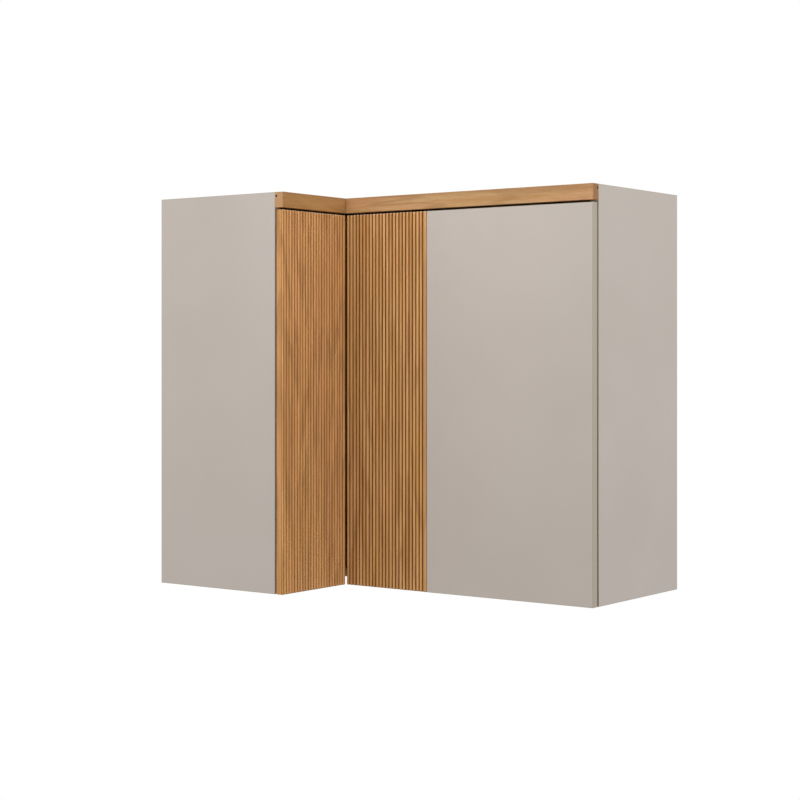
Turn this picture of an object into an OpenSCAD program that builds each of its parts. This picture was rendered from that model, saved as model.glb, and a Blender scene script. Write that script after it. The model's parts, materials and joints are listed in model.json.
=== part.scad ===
// Wall-hung corner cabinet: two wings in an L, a ribbed door on the left wing and a
// door of one ribbed and one smooth board on the right wing, under a wooden front rail.
// Frame: +Z up, the right wing faces -Y, the left wing faces +X. The origin is at the
// bottom centre of the box around the cabinet.

/* [Cabinet] */
// Height of the end panels
height = 700; // [500:1:900]
// Depth of each wing's box, from the wall to the front edges of the boards
depth = 273.5; // [240:0.5:400]
// Length of the right wing's front, from the inner corner to its free end
right_front = 519.5; // [420:0.5:800]
// Length of the left wing's front, from the inner corner to its free end
left_front = 176; // [150:0.5:500]

/* [Boards] */
// Thickness of the end panels, top, bottom and shelf
board_t = 15; // [12:0.5:25]
// Thickness of the two back panels
back_t = 6; // [3:0.5:12]
// Height of the bottom panel's underside above the door bottoms: the finger pull
bottom_lift = 12; // [6:0.5:30]
// Height of the shelf's underside above the bottom panel
shelf_rise = 310; // [200:1:400]
// Distance of the shelf's front edge behind the front edges of the boards
shelf_setback = 20; // [5:1:40]
// Play between the shelf and the walls around it
shelf_play = 1; // [0.5:0.1:3]
// Side of the square post in the rear corner
post_w = 25; // [20:1:40]
// Height of the hanging rails under the top panel
hang_h = 80; // [60:1:120]

/* [Fronts] */
// Thickness of the door boards
front_t = 15; // [15:0.5:22]
// Gap between the door backs and the front edges of the boards
front_gap = 2.5; // [2.2:0.1:4]
// Height of the wooden front rail above the doors
rail_h = 27; // [20:0.5:60]
// Gap between the front rail and the tops of the doors
rail_gap = 4; // [2:0.5:8]
// Open joint between the two front rails in the inner corner
rail_joint = 0.8; // [0.2:0.1:1.5]
// Distance of each door's free edge from the inner corner
corner_gap = 1.5; // [1:0.1:5]
// Distance of each door's hinge edge from the outer face of its end panel
side_inset = 0.8; // [0.5:0.1:1.5]
// Radius of the eased vertical edges of the doors
ease_r = 1; // [0.5:0.1:1.5]

/* [Ribbed boards] */
// Width of the ribbed board of the right door
rib_board_w = 178.3; // [120:0.1:300]
// Distance from one rib to the next
rib_pitch = 7.43; // [6:0.01:12]
// Width of the groove between two ribs
groove_w = 2.4; // [1.5:0.1:4]
// Width of the outer rib at the joint with the smooth board
seam_rib_w = 7.3; // [4:0.1:10]
// Width of the outer rib at the left door's free edge
corner_rib_w = 6.4; // [4:0.1:10]
// Depth of the grooves
groove_d = 2.8; // [1.5:0.1:2.9]
// Radius of the rounded tops of the ribs
rib_r = 1.6; // [0.5:0.1:2.7]
// Open joint between the ribbed and the smooth board
board_joint = 0.9; // [0.2:0.1:1.2]

/* [Door cleats] */
// Height of the cleats that join the two boards of the right door
cleat_h = 60; // [40:1:90]
// Length of the cleats
cleat_l = 140; // [120:1:220]
// Thickness of the cleats
cleat_t = 1.5; // [1:0.1:2]
// Diameter of the dowels in the joint of the two boards
joint_dowel_d = 6; // [4:0.5:6]
// Length of the dowels in the joint of the two boards
joint_dowel_l = 30; // [20:1:40]

/* [Hinges] */
// Distance of the hinge centres from the ends of the doors
hinge_from_end = 95; // [80:1:140]
// Diameter of the hinge cup
cup_d = 35; // [35:1:36]
// Depth of the hinge cup in the door
cup_h = 11.5; // [11.3:0.1:11.8]
// Wall of the hinge cup
cup_wall = 0.8; // [0.6:0.1:0.9]
// Wood left between the cup and the hinge edge of the door
cup_edge = 3.2; // [3:0.1:3.4]
// Distance of the hinge axis from the hinge edge of the door
axis_edge = 6.6; // [6.5:0.1:6.8]
// Depth of the hinge axis in the door, from its back face
axis_depth = 8.7; // [8.5:0.1:8.8]
// Diameter of the hinge pin
pin_d = 2; // [1.6:0.1:2.2]
// Length of the hinge pin
pin_l = 16; // [14:0.5:16.5]
// Radial play of the hinge pin in the arm
pin_play = 0.05; // [0.02:0.01:0.1]
// Outer diameter of the arm's knuckle round the pin
knuckle_d = 3.5; // [3.4:0.1:3.6]
// Thickness of the hinge arm's sheet
arm_t = 2; // [1.6:0.1:2.2]
// Width of the hinge arm inside the cup
neck_w = 8; // [6:0.5:8.5]
// Width of the hinge arm on its plate
arm_w = 16; // [12:0.5:20]
// Distance of the plate's screws from the front edge of the end panel
plate_setback = 37; // [34:1:42]
// Distance between the plate's two screws
plate_pitch = 32; // [28:1:40]
// Thickness of the hinge plate's wings
plate_t = 2; // [1.5:0.1:3]
// Height of the hinge plate's bridge under the arm
bridge_t = 5; // [4:0.1:6]

/* [Joints of the box] */
// Diameter of the cam discs
cam_d = 15; // [12:0.5:15]
// Distance of the cam centres from the end of the board
cam_reach = 34; // [24:1:40]
// Diameter of the cam bolts
cam_bolt_d = 6; // [5:0.5:7]
// Diameter of the box's dowels
dowel_d = 8; // [6:0.5:8]
// Depth of bolts and dowels in the end panels
panel_bite = 11; // [9:0.5:11.5]
// Distance of the outer joints from the board edges
joint_inset = 40; // [35:1:60]
// Diameter of the wall screw holes in the hanging rails
wall_hole_d = 7; // [5:0.5:10]
// Distance between the two wall screws of the right wing
right_wall_pitch = 480; // [300:1:600]
// Distance between the two wall screws of the left wing
left_wall_pitch = 240; // [100:1:260]
// Diameter of the shelf pins
shelf_pin_d = 5; // [4:0.5:6]
// Distance between the shelf pin holes
shelf_pin_pitch = 32; // [25:1:40]
// Diameter of the small hole in each end of the front rail
rail_hole_d = 4; // [2:0.5:5]

/* [Hidden] */
$fn = 64;

OAK = "burlywood";
BEIGE = "antiquewhite";
WHITE = "whitesmoke";
STEEL = "silver";
ZINC = "lightgray";
CLEAR = "gainsboro";
BEECH = "wheat";

fit = 0.05;
cut = 1;
bumper_play = 0.8;
front_out = front_gap + front_t;
width = depth + front_out + right_front;
length = depth + front_out + left_front;
x_left = -width / 2;
x_right = width / 2;
y_front = -length / 2;
y_back = length / 2;

// The inner corner of the fronts, and the front edge lines of the two wings' boards
x_face = x_left + depth + front_out;
y_face = y_back - depth - front_out;
x_edge = x_left + depth;
y_edge = y_back - depth;

top_z = height - board_t;
floor_z = bottom_lift + board_t;
shelf_z = floor_z + shelf_rise;
rail_z = height - rail_h;
door_h = rail_z - rail_gap;
hang_z = top_z - hang_h;
mid_t = board_t / 2;

x_in = x_right - board_t;
y_in = y_front + board_t;
x_wall = x_left + back_t;
y_wall = y_back - back_t;

left_board_w = left_front - corner_gap - side_inset;
smooth_x = x_face + corner_gap + rib_board_w + board_joint;
smooth_w = x_right - side_inset - smooth_x;
ribbed_x = x_face + corner_gap;
seam_x = ribbed_x + rib_board_w + board_joint / 2;

hinge_zs = [hinge_from_end, door_h - hinge_from_end];
axis_u = side_inset - board_t + axis_edge;
axis_v = front_gap + axis_depth;
cup_r = cup_d / 2;
cup_u = side_inset - board_t + cup_edge + cup_r;
edge_rib = 0.8;
flange_t = 0.8;
flange_rim = 0.6;
cup_screw_z = 22.5;
cup_screw_u = cup_u + 9.5;
flange_l = 58;
flange_w = 12;
lug_gap = 1;
rim_notch_w = neck_w + lug_gap;
rim_notch_d = 1.4;
lug_l = 3;
lug_w = 5.5;
arm_u = bridge_t + arm_t / 2;
neck_bend = 3.2;
arm_front = -16;
arm_l = 46;
arm_screw_v = -plate_setback - 9;
bridge_w = 12;
bridge_v = -plate_setback + 14;
bridge_l = 38;
wing_v = 14;
wing_r = 7;

screw_d = 3.5;
screw_head_d = 7;
screw_head_h = 2.4;
plate_screw_d = 4.8;
plate_screw_l = 12;
cup_screw_l = 11;
arm_screw_d = 5;
arm_screw_l = 6;
arm_screw_head_d = 9;
arm_screw_head_h = 2;
cleat_screw_l = 11;
back_screw_l = 30;
hang_screw_l = 45;

back_screw_in = 45;
post_screw_low = 80;
post_screw_high = 60;
hang_screw_in = 60;
hang_screw_far = 70;
rail_dowel_in = 60;
left_rail_dowel_in = 45;
dowel_from_cam = 32;
cleat_low = 60;
middle_cleat_lift = 60;
joint_dowel_in = 60;

cam_h = 12;
cam_hollow_d = cam_bolt_d + 1.6;
cam_play = 1;
board_dowel_l = 24;
rail_dowel_bite = 10;
rail_dowel_l = 30;
rail_dowel_d = 6;
bumper_d = 8;
bumper_t = front_gap - bumper_play;
bumper_hinge_in = 30;
bumper_free_in = 25;
shelf_pin_bite = 9;
shelf_pin_out = 8;
pin_holes = 5;
rail_hole_back = 3;
rail_hole_drop = 7;
rail_hole_l = 12;

function lerp(a, b, k) = a + (b - a) * k;

// Evenly spaced places from a to b, n in all
function spread(a, b, n) = [for (i = [0 : n - 1]) lerp(a, b, i / (n - 1))];

// The same shape at each hinge height
module each_hinge() { for (z = hinge_zs) translate([0, 0, z]) children(); }

// Hinge frame: x runs from the end panel's inner face into the box, y runs from the
// panel's front edge towards the user
module at_right_hinges() {
  translate([x_in, y_edge, 0]) rotate([0, 0, 180]) each_hinge() children();
}
module at_left_hinges() {
  translate([x_edge, y_in, 0]) mirror([1, -1, 0]) each_hinge() children();
}

module along_x(p, d, l) { translate(p) rotate([0, 90, 0]) cylinder(d = d, h = l); }
module along_y(p, d, l) { translate(p) rotate([-90, 0, 0]) cylinder(d = d, h = l); }
module along_z(p, d, l) { translate(p) cylinder(d = d, h = l); }

// Countersunk screw with its head's face at z = 0 and its shank along +z
module screw(d, l) {
  cylinder(d1 = screw_head_d, d2 = d, h = screw_head_h);
  cylinder(d = d, h = l);
}
// The hole for such a screw
module screw_hole(d, l) {
  translate([0, 0, -cut]) cylinder(d = screw_head_d + 2 * fit, h = cut);
  cylinder(d1 = screw_head_d + 2 * fit, d2 = d + 2 * fit, h = screw_head_h);
  cylinder(d = d + 2 * fit, h = l + fit);
}

// Plan of an L that fills both wings between the walls and lines `set` behind the edges
module plan_l(set, play) {
  x0 = x_wall + play;
  y1 = y_wall - play;
  translate([x0, y_edge + set]) square([x_in - play - x0, y1 - y_edge - set]);
  translate([x0, y_in + play]) square([x_edge - set - x0, y1 - y_in - play]);
}
module post_notch(play) {
  translate([x_left - cut, y_wall - post_w - play])
    square([back_t + post_w + play + cut, post_w + back_t + play + cut]);
}

// Places of the cam joints and dowels along the end of a wing's board
wing_cams = [joint_inset, depth - back_t - joint_inset];
wing_dowels = [joint_inset + dowel_from_cam, depth - back_t - joint_inset - dowel_from_cam];
joint_levels = [mid_t + bottom_lift, top_z + mid_t];

// Cam discs open downwards in the bottom panel and upwards in the top panel
module cam_at(z, d) {
  if (z < height / 2) translate([0, 0, bottom_lift - cut]) cylinder(d = d, h = cam_h + cut);
  else translate([0, 0, height - cam_h]) cylinder(d = d, h = cam_h + cut);
}
module cam_disc(z) {
  base = z < height / 2 ? bottom_lift : height - cam_h;
  difference() {
    translate([0, 0, base]) cylinder(d = cam_d, h = cam_h);
    translate([0, 0, z]) rotate([0, 90, 0])
      cylinder(d = cam_hollow_d, h = cam_d, center = false);
    translate([0, 0, z]) sphere(d = cam_hollow_d);
  }
}

// Joints at the right end panel: x = 0 at the panel's inner face, pointing into the panel
module at_right_joints(places) {
  for (z = joint_levels, p = places) translate([x_in, y_edge + p, 0]) {
    $level = z;
    children();
  }
}
module at_left_joints(places) {
  for (z = joint_levels, p = places)
    translate([x_edge - p, y_in, 0]) rotate([0, 0, -90]) {
      $level = z;
      children();
    }
}

module joint_dowel_holes() {
  translate([0, 0, $level])
    along_x([-board_dowel_l - fit, 0, 0], dowel_d + 2 * fit, board_dowel_l + panel_bite + 2 * fit);
}
module panel_bolt_holes() {
  translate([0, 0, $level]) along_x([-cut, 0, 0], cam_bolt_d + 2 * fit, panel_bite + fit + cut);
}
module board_bolt_holes() {
  translate([0, 0, $level])
    along_x([-cam_reach, 0, 0], cam_bolt_d + 2 * cam_play, cam_reach + cut);
  translate([-cam_reach, 0, 0]) cam_at($level, cam_d + 2 * fit);
}
module cam_bolt() {
  translate([0, 0, $level]) {
    along_x([-cam_reach - cam_bolt_d / 4, 0, 0], cam_bolt_d, cam_reach + cam_bolt_d / 4 + panel_bite);
  }
}
module panel_dowel() {
  translate([0, 0, $level]) along_x([-board_dowel_l, 0, 0], dowel_d, board_dowel_l + panel_bite);
}

// Shelf pin holes: rows on both end panels and on the corner post
shelf_rows = [joint_inset + shelf_setback, depth - back_t - joint_inset];
pin_zs = [for (i = [0 : pin_holes - 1])
  shelf_z - shelf_pin_d / 2 + (i - floor(pin_holes / 2)) * shelf_pin_pitch];
post_pin_in = post_w / 2;

module plate_holes() {
  for (s = [-1, 1]) translate([plate_t, -plate_setback, s * plate_pitch / 2])
    rotate([0, -90, 0]) screw_hole(plate_screw_d, plate_screw_l);
}

module left_end_panel() {
  color(BEIGE) difference() {
    translate([x_left, y_front, 0]) cube([depth, board_t, height]);
    at_left_joints(wing_cams) panel_bolt_holes();
    at_left_joints(wing_dowels) joint_dowel_holes();
    at_left_hinges() plate_holes();
    for (p = shelf_rows, z = pin_zs)
      along_y([x_edge - p, y_in - shelf_pin_bite - fit, z], shelf_pin_d + 2 * fit, shelf_pin_bite + cut);
    rail_dowel_holes();
  }
}

module right_end_panel() {
  color(BEIGE) difference() {
    translate([x_in, y_edge, 0]) cube([board_t, depth, height]);
    at_right_joints(wing_cams) panel_bolt_holes();
    at_right_joints(wing_dowels) joint_dowel_holes();
    at_right_hinges() plate_holes();
    for (p = shelf_rows, z = pin_zs)
      along_x([x_in - cut, y_edge + p, z], shelf_pin_d + 2 * fit, shelf_pin_bite + fit + cut);
    rail_dowel_holes();
  }
}

// Front rail dowels: into the top panel along both rails, and one into each end panel
rail_dowel_z = top_z + mid_t;
right_rail_xs = spread(x_face + rail_dowel_in, x_in - rail_dowel_in, 3);
left_rail_ys = spread(y_in + left_rail_dowel_in, y_face - left_rail_dowel_in, 2);
rail_back = -rail_dowel_bite;

module right_rail_dowels(d, slack) {
  l = rail_dowel_l + 2 * slack;
  for (x = right_rail_xs)
    along_y([x, y_edge + rail_back - slack, rail_dowel_z], d, l);
  along_y([x_in + mid_t, y_edge + rail_back - slack, rail_z + rail_h / 2], d, l);
}
module left_rail_dowels(d, slack) {
  l = rail_dowel_l + 2 * slack;
  for (y = left_rail_ys)
    along_x([x_edge - rail_dowel_l - rail_back - slack, y, rail_dowel_z], d, l);
  along_x([x_edge - rail_dowel_l - rail_back - slack, y_in - mid_t, rail_z + rail_h / 2], d, l);
}
module rail_dowel_holes() {
  right_rail_dowels(rail_dowel_d + 2 * fit, fit);
  left_rail_dowels(rail_dowel_d + 2 * fit, fit);
}
module corner_dowel(d, slack) {
  along_y([x_edge + front_out / 2, y_face - rail_dowel_bite - slack, rail_z + rail_h / 2],
    d, rail_dowel_l - rail_dowel_bite + 2 * slack - 4);
}

// Screws through the backs into the rear edges of the top, the bottom and the post
right_screw_xs = spread(x_wall + post_w / 2 + back_t, x_in - back_screw_in, 5);
left_screw_ys = spread(y_in + back_screw_in, y_wall - post_w / 2 - back_t, 4);
back_screw_zs = [joint_levels[0], joint_levels[1]];
post_screw_zs = spread(floor_z + post_screw_low, top_z - hang_h - post_screw_high, 3);

module at_right_back_screws() {
  for (x = right_screw_xs, z = back_screw_zs)
    if (x > x_wall + post_w) translate([x, y_back, z]) rotate([90, 0, 0]) children();
  for (z = post_screw_zs)
    translate([x_wall + post_w / 2, y_back, z]) rotate([90, 0, 0]) children();
}
module at_left_back_screws() {
  for (y = left_screw_ys, z = back_screw_zs)
    if (y < y_wall - post_w) translate([x_left, y, z]) rotate([0, 90, 0]) children();
  for (z = post_screw_zs)
    translate([x_left, y_wall - post_w / 2, z + 30]) rotate([0, 90, 0]) children();
}

// Screws down through the top panel into the hanging rails
right_hang_xs = spread(x_wall + post_w + hang_screw_far, x_in - hang_screw_in, 3);
left_hang_ys = spread(y_in + hang_screw_in, y_wall - post_w - hang_screw_in, 2);
module at_hang_screws() {
  for (x = right_hang_xs) translate([x, y_wall - mid_t, height]) rotate([180, 0, 0]) children();
  for (y = left_hang_ys) translate([x_wall + mid_t, y, height]) rotate([180, 0, 0]) children();
}

// Centres of the wall screw holes
wall_hole_z = hang_z + hang_h / 2;
right_wall_x = (x_wall + post_w + x_in) / 2;
left_wall_y = (y_in + y_wall - post_w) / 2;
module right_wall_holes() {
  for (s = [-1, 1])
    along_y([right_wall_x + s * right_wall_pitch / 2, y_wall - board_t - cut, wall_hole_z],
      wall_hole_d, board_t + back_t + 2 * cut);
}
module left_wall_holes() {
  for (s = [-1, 1])
    along_x([x_left - cut, left_wall_y + s * left_wall_pitch / 2, wall_hole_z],
      wall_hole_d, board_t + back_t + 2 * cut);
}

module top_panel() {
  color(WHITE) difference() {
    translate([0, 0, top_z]) linear_extrude(board_t) plan_l(0, 0);
    at_right_joints(wing_cams) board_bolt_holes();
    at_right_joints(wing_dowels) joint_dowel_holes();
    at_left_joints(wing_cams) board_bolt_holes();
    at_left_joints(wing_dowels) joint_dowel_holes();
    rail_dowel_holes();
    at_right_back_screws() screw_hole(screw_d, back_screw_l);
    at_left_back_screws() screw_hole(screw_d, back_screw_l);
    at_hang_screws() screw_hole(screw_d, hang_screw_l);
  }
}

module bottom_panel() {
  color(WHITE) difference() {
    translate([0, 0, bottom_lift]) linear_extrude(board_t) plan_l(0, 0);
    at_right_joints(wing_cams) board_bolt_holes();
    at_right_joints(wing_dowels) joint_dowel_holes();
    at_left_joints(wing_cams) board_bolt_holes();
    at_left_joints(wing_dowels) joint_dowel_holes();
    at_right_back_screws() screw_hole(screw_d, back_screw_l);
    at_left_back_screws() screw_hole(screw_d, back_screw_l);
  }
}

module shelf() {
  color(WHITE) translate([0, 0, shelf_z]) linear_extrude(board_t) difference() {
    plan_l(shelf_setback, shelf_play);
    post_notch(shelf_play);
  }
}

module right_back_panel() {
  color(WHITE) difference() {
    translate([x_left, y_wall, bottom_lift])
      cube([x_in - x_left, back_t, height - bottom_lift]);
    at_right_back_screws() screw_hole(screw_d, back_screw_l);
    right_wall_holes();
  }
}

module left_back_panel() {
  color(WHITE) difference() {
    translate([x_left, y_in, bottom_lift])
      cube([back_t, y_wall - y_in, height - bottom_lift]);
    at_left_back_screws() screw_hole(screw_d, back_screw_l);
    left_wall_holes();
  }
}

module corner_post() {
  color(BEECH) difference() {
    translate([x_wall, y_wall - post_w, floor_z]) cube([post_w, post_w, top_z - floor_z]);
    at_right_back_screws() screw_hole(screw_d, back_screw_l);
    at_left_back_screws() screw_hole(screw_d, back_screw_l);
    for (z = pin_zs)
      along_x([x_wall + post_w - shelf_pin_bite - fit, y_wall - post_pin_in, z],
        shelf_pin_d + 2 * fit, shelf_pin_bite + cut);
  }
}

module right_hanging_rail() {
  color(WHITE) difference() {
    translate([x_wall + post_w, y_wall - board_t, hang_z])
      cube([x_in - x_wall - post_w, board_t, hang_h]);
    right_wall_holes();
    at_hang_screws() screw_hole(screw_d, hang_screw_l);
  }
}

module left_hanging_rail() {
  color(WHITE) difference() {
    translate([x_wall, y_in, hang_z]) cube([board_t, y_wall - post_w - y_in, hang_h]);
    left_wall_holes();
    at_hang_screws() screw_hole(screw_d, hang_screw_l);
  }
}

module hanging_rail_screws() { color(ZINC) at_hang_screws() screw(screw_d, hang_screw_l); }
module right_back_screws() { color(ZINC) at_right_back_screws() screw(screw_d, back_screw_l); }
module left_back_screws() { color(ZINC) at_left_back_screws() screw(screw_d, back_screw_l); }

module right_front_rail() {
  color(OAK) difference() {
    translate([x_edge, y_face, rail_z]) cube([x_right - x_edge, front_out, rail_h]);
    rail_dowel_holes();
    corner_dowel(rail_dowel_d + 2 * fit, fit);
    along_x([x_right - rail_hole_l, y_edge - rail_hole_back, height - rail_hole_drop],
      rail_hole_d, rail_hole_l + cut);
  }
}

module left_front_rail() {
  color(OAK) difference() {
    translate([x_edge, y_front, rail_z])
      cube([front_out, y_face - y_front - rail_joint, rail_h]);
    rail_dowel_holes();
    corner_dowel(rail_dowel_d + 2 * fit, fit);
    along_y([x_edge + rail_hole_back, y_front - cut, height - rail_hole_drop],
      rail_hole_d, rail_hole_l + cut);
  }
}

module front_rail_dowels() {
  color(BEECH) {
    right_rail_dowels(rail_dowel_d, 0);
    left_rail_dowels(rail_dowel_d, 0);
  }
}
module rail_corner_dowel() { color(BEECH) corner_dowel(rail_dowel_d, 0); }

// Plan of a plain door board: x along its width, y from its back (0) to its face
module board_plan(w) {
  translate([0, ease_r]) square([w, front_t - 2 * ease_r]);
  translate([ease_r, 0]) square([w - 2 * ease_r, front_t]);
  for (x = [ease_r, w - ease_r], y = [ease_r, front_t - ease_r])
    translate([x, y]) circle(r = ease_r);
}
// Plan of one rib between x = a and x = b, with a rounded top
module rib_plan(a, b) {
  r = min(rib_r, (b - a) / 2);
  translate([a, ease_r]) square([b - a, front_t - ease_r - r]);
  if (b - a > 2 * r) translate([a + r, ease_r]) square([b - a - 2 * r, front_t - ease_r]);
  for (x = [a + r, b - r]) translate([x, front_t - r]) circle(r = r);
}
// Plan of a ribbed board: the ribs are counted from the outer rib at x = w, and what is
// left past the last groove, at least a thin edging, is the rib at x = 0
module ribbed_plan(w, outer_w) {
  first = w - outer_w - groove_w;
  n = floor((first - edge_rib) / rib_pitch);
  base_t = front_t - groove_d;
  translate([0, ease_r]) square([w, base_t - ease_r]);
  translate([ease_r, 0]) square([w - 2 * ease_r, base_t]);
  for (x = [ease_r, w - ease_r]) translate([x, ease_r]) circle(r = ease_r);
  rib_plan(w - outer_w, w);
  for (i = [0 : n - 1]) rib_plan(first - (i + 1) * rib_pitch + groove_w, first - i * rib_pitch);
  rib_plan(0, first - n * rib_pitch);
}

// Door frames: x along the door's width, y from its back to its face, z up
module on_right_wing(x) { translate([x, y_edge - front_gap, 0]) mirror([0, 1, 0]) children(); }
module on_left_wing(y) { translate([x_edge + front_gap, y, 0]) mirror([1, -1, 0]) children(); }

module cup_bore() {
  translate([cup_u, front_gap - cut, 0]) rotate([-90, 0, 0])
    cylinder(d = cup_d + 2 * fit, h = cup_h + fit + cut);
  for (s = [-1, 1]) translate([cup_screw_u, front_gap - flange_t, s * cup_screw_z])
    rotate([-90, 0, 0]) screw_hole(screw_d, cup_screw_l);
}
module left_door_board() {
  color(OAK) difference() {
    on_left_wing(y_front + side_inset) linear_extrude(door_h)
      ribbed_plan(left_board_w, corner_rib_w);
    at_left_hinges() cup_bore();
  }
}

module right_door_ribbed_board() {
  color(OAK) difference() {
    on_right_wing(ribbed_x) linear_extrude(door_h) ribbed_plan(rib_board_w, seam_rib_w);
    cleat_screw_holes();
    joint_dowels(joint_dowel_d + 2 * fit, fit);
  }
}

module right_door_smooth_board() {
  color(BEIGE) difference() {
    on_right_wing(smooth_x) linear_extrude(door_h) board_plan(smooth_w);
    at_right_hinges() cup_bore();
    cleat_screw_holes();
    joint_dowels(joint_dowel_d + 2 * fit, fit);
  }
}

// Cleats lie on the door's back, across the joint of the two boards
cleat_zs = [floor_z + cleat_low, (door_h - cleat_h) / 2 + middle_cleat_lift, hang_z - cleat_h];
module cleat_screw_places() {
  for (z = cleat_zs, sx = [-1, 1], kx = [0.25, 0.85], kz = [-1, 1])
    translate([seam_x + sx * kx * cleat_l / 2, y_edge - front_gap + cleat_t,
      z + cleat_h / 2 + kz * cleat_h / 3]) rotate([90, 0, 0]) children();
}
module cleat_screw_holes() { cleat_screw_places() screw_hole(screw_d, cleat_screw_l); }
module door_cleats() {
  color(ZINC) difference() {
    for (z = cleat_zs)
      translate([seam_x - cleat_l / 2, y_edge - front_gap, z]) cube([cleat_l, cleat_t, cleat_h]);
    cleat_screw_holes();
  }
}
module cleat_screws() { color(ZINC) cleat_screw_places() screw(screw_d, cleat_screw_l); }

joint_dowel_zs = spread(joint_dowel_in, door_h - joint_dowel_in, 4);
module joint_dowels(d, slack) {
  for (z = joint_dowel_zs)
    along_x([seam_x - joint_dowel_l / 2 - slack, y_edge - front_gap - front_t / 2 + 1.2, z],
      d, joint_dowel_l + 2 * slack);
}
module door_joint_dowels() { color(BEECH) joint_dowels(joint_dowel_d, 0); }

// Hinge cup with its flange and the two lugs that hold the pin
module hinge_cup() {
  difference() {
    union() {
      difference() {
        translate([cup_u, front_gap - flange_t, 0]) rotate([-90, 0, 0]) {
          cylinder(r = cup_r, h = cup_h + flange_t);
          cylinder(r = cup_r + flange_rim, h = flange_t);
          translate([cup_screw_u - cup_u - flange_w / 2, -flange_l / 2, 0])
            cube([flange_w, flange_l, flange_t]);
        }
        translate([cup_u, front_gap - flange_t - cut, 0]) rotate([-90, 0, 0])
          cylinder(r = cup_r - cup_wall, h = cup_h + flange_t + cut - cup_wall);
      }
      intersection() {
        for (s = [0, 1]) mirror([0, 0, s])
          translate([cup_u - cup_r, front_gap, neck_w / 2 + lug_gap])
            cube([axis_u - cup_u + cup_r + lug_w / 2, cup_h, lug_l]);
        translate([cup_u, front_gap, 0]) rotate([-90, 0, 0]) cylinder(r = cup_r - fit, h = cup_h);
      }
    }
    along_z([axis_u, axis_v, -pin_l / 2], pin_d, pin_l);
    translate([cup_u - cup_r - flange_rim - cut, front_gap - flange_t - cut, -rim_notch_w / 2])
      cube([cup_r / 2, flange_t + rim_notch_d + cut, rim_notch_w]);
    for (s = [-1, 1]) translate([cup_screw_u, front_gap - flange_t, s * cup_screw_z])
      rotate([-90, 0, 0]) screw_hole(screw_d, cup_screw_l);
  }
}
module cup_screws() {
  for (s = [-1, 1]) translate([cup_screw_u, front_gap - flange_t, s * cup_screw_z])
    rotate([-90, 0, 0]) screw(screw_d, cup_screw_l);
}
module hinge_pin() { along_z([axis_u, axis_v, -pin_l / 2], pin_d, pin_l); }

// A straight bar with round ends from a to b
module bar(a, b, w) {
  d = b - a;
  translate(a) rotate(atan2(d[1], d[0])) translate([0, -w / 2]) square([norm(d), w]);
  translate(a) circle(d = w);
  translate(b) circle(d = w);
}

// Bent arm: out of the cup, round the front edge of the panel and back on its plate
module hinge_arm() {
  knee_a = [axis_u + axis_depth + 0.6, axis_v + 0.2];
  knee_b = [arm_u - 0.8, axis_v - neck_bend];
  difference() {
    union() {
      translate([0, 0, -neck_w / 2]) linear_extrude(neck_w) {
        translate([axis_u, axis_v]) circle(d = knuckle_d);
        bar([axis_u, axis_v], knee_a, arm_t);
        bar(knee_a, knee_b, arm_t);
        bar(knee_b, [arm_u, 2], arm_t);
        bar([arm_u, 2], [arm_u, arm_front], arm_t);
      }
      translate([bridge_t, arm_front - arm_l, -arm_w / 2]) cube([arm_t, arm_l, arm_w]);
    }
    along_z([axis_u, axis_v, -neck_w / 2 - cut], pin_d + 2 * pin_play, neck_w + 2 * cut);
    translate([0, arm_screw_v, 0])
      along_x([bridge_t - cut, 0, 0], arm_screw_d + 2 * fit, arm_t + 2 * cut);
  }
}

// Plate on the end panel: two screw wings and a bridge that carries the arm
module hinge_plate() {
  difference() {
    union() {
      translate([0, -plate_setback - wing_v / 2, -plate_pitch / 2])
        cube([plate_t, wing_v, plate_pitch]);
      for (s = [-1, 1]) translate([0, -plate_setback, s * plate_pitch / 2])
        along_x([0, 0, 0], 2 * wing_r, plate_t);
      translate([0, bridge_v - bridge_l, -bridge_w / 2]) cube([bridge_t, bridge_l, bridge_w]);
    }
    for (s = [-1, 1]) translate([plate_t, -plate_setback, s * plate_pitch / 2])
      rotate([0, -90, 0]) screw_hole(plate_screw_d, plate_screw_l);
    translate([0, arm_screw_v, 0])
      along_x([bridge_t - arm_screw_l + arm_t - fit, 0, 0], arm_screw_d + 2 * fit, arm_screw_l + cut);
  }
}
module plate_screws() {
  for (s = [-1, 1]) translate([plate_t, -plate_setback, s * plate_pitch / 2])
    rotate([0, -90, 0]) screw(plate_screw_d, plate_screw_l);
}
module arm_screw() {
  translate([bridge_t + arm_t, arm_screw_v, 0]) {
    along_x([-arm_screw_l, 0, 0], arm_screw_d, arm_screw_l);
    along_x([0, 0, 0], arm_screw_head_d, arm_screw_head_h);
  }
}

module left_hinge_cups() { color(STEEL) at_left_hinges() hinge_cup(); }
module left_hinge_pins() { color(STEEL) at_left_hinges() hinge_pin(); }
module left_hinge_arms() { color(STEEL) at_left_hinges() hinge_arm(); }
module left_hinge_plates() { color(STEEL) at_left_hinges() hinge_plate(); }
module left_cup_screws() { color(ZINC) at_left_hinges() cup_screws(); }
module left_plate_screws() { color(ZINC) at_left_hinges() plate_screws(); }
module left_arm_screws() { color(ZINC) at_left_hinges() arm_screw(); }
module right_hinge_cups() { color(STEEL) at_right_hinges() hinge_cup(); }
module right_hinge_pins() { color(STEEL) at_right_hinges() hinge_pin(); }
module right_hinge_arms() { color(STEEL) at_right_hinges() hinge_arm(); }
module right_hinge_plates() { color(STEEL) at_right_hinges() hinge_plate(); }
module right_cup_screws() { color(ZINC) at_right_hinges() cup_screws(); }
module right_plate_screws() { color(ZINC) at_right_hinges() plate_screws(); }
module right_arm_screws() { color(ZINC) at_right_hinges() arm_screw(); }

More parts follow.
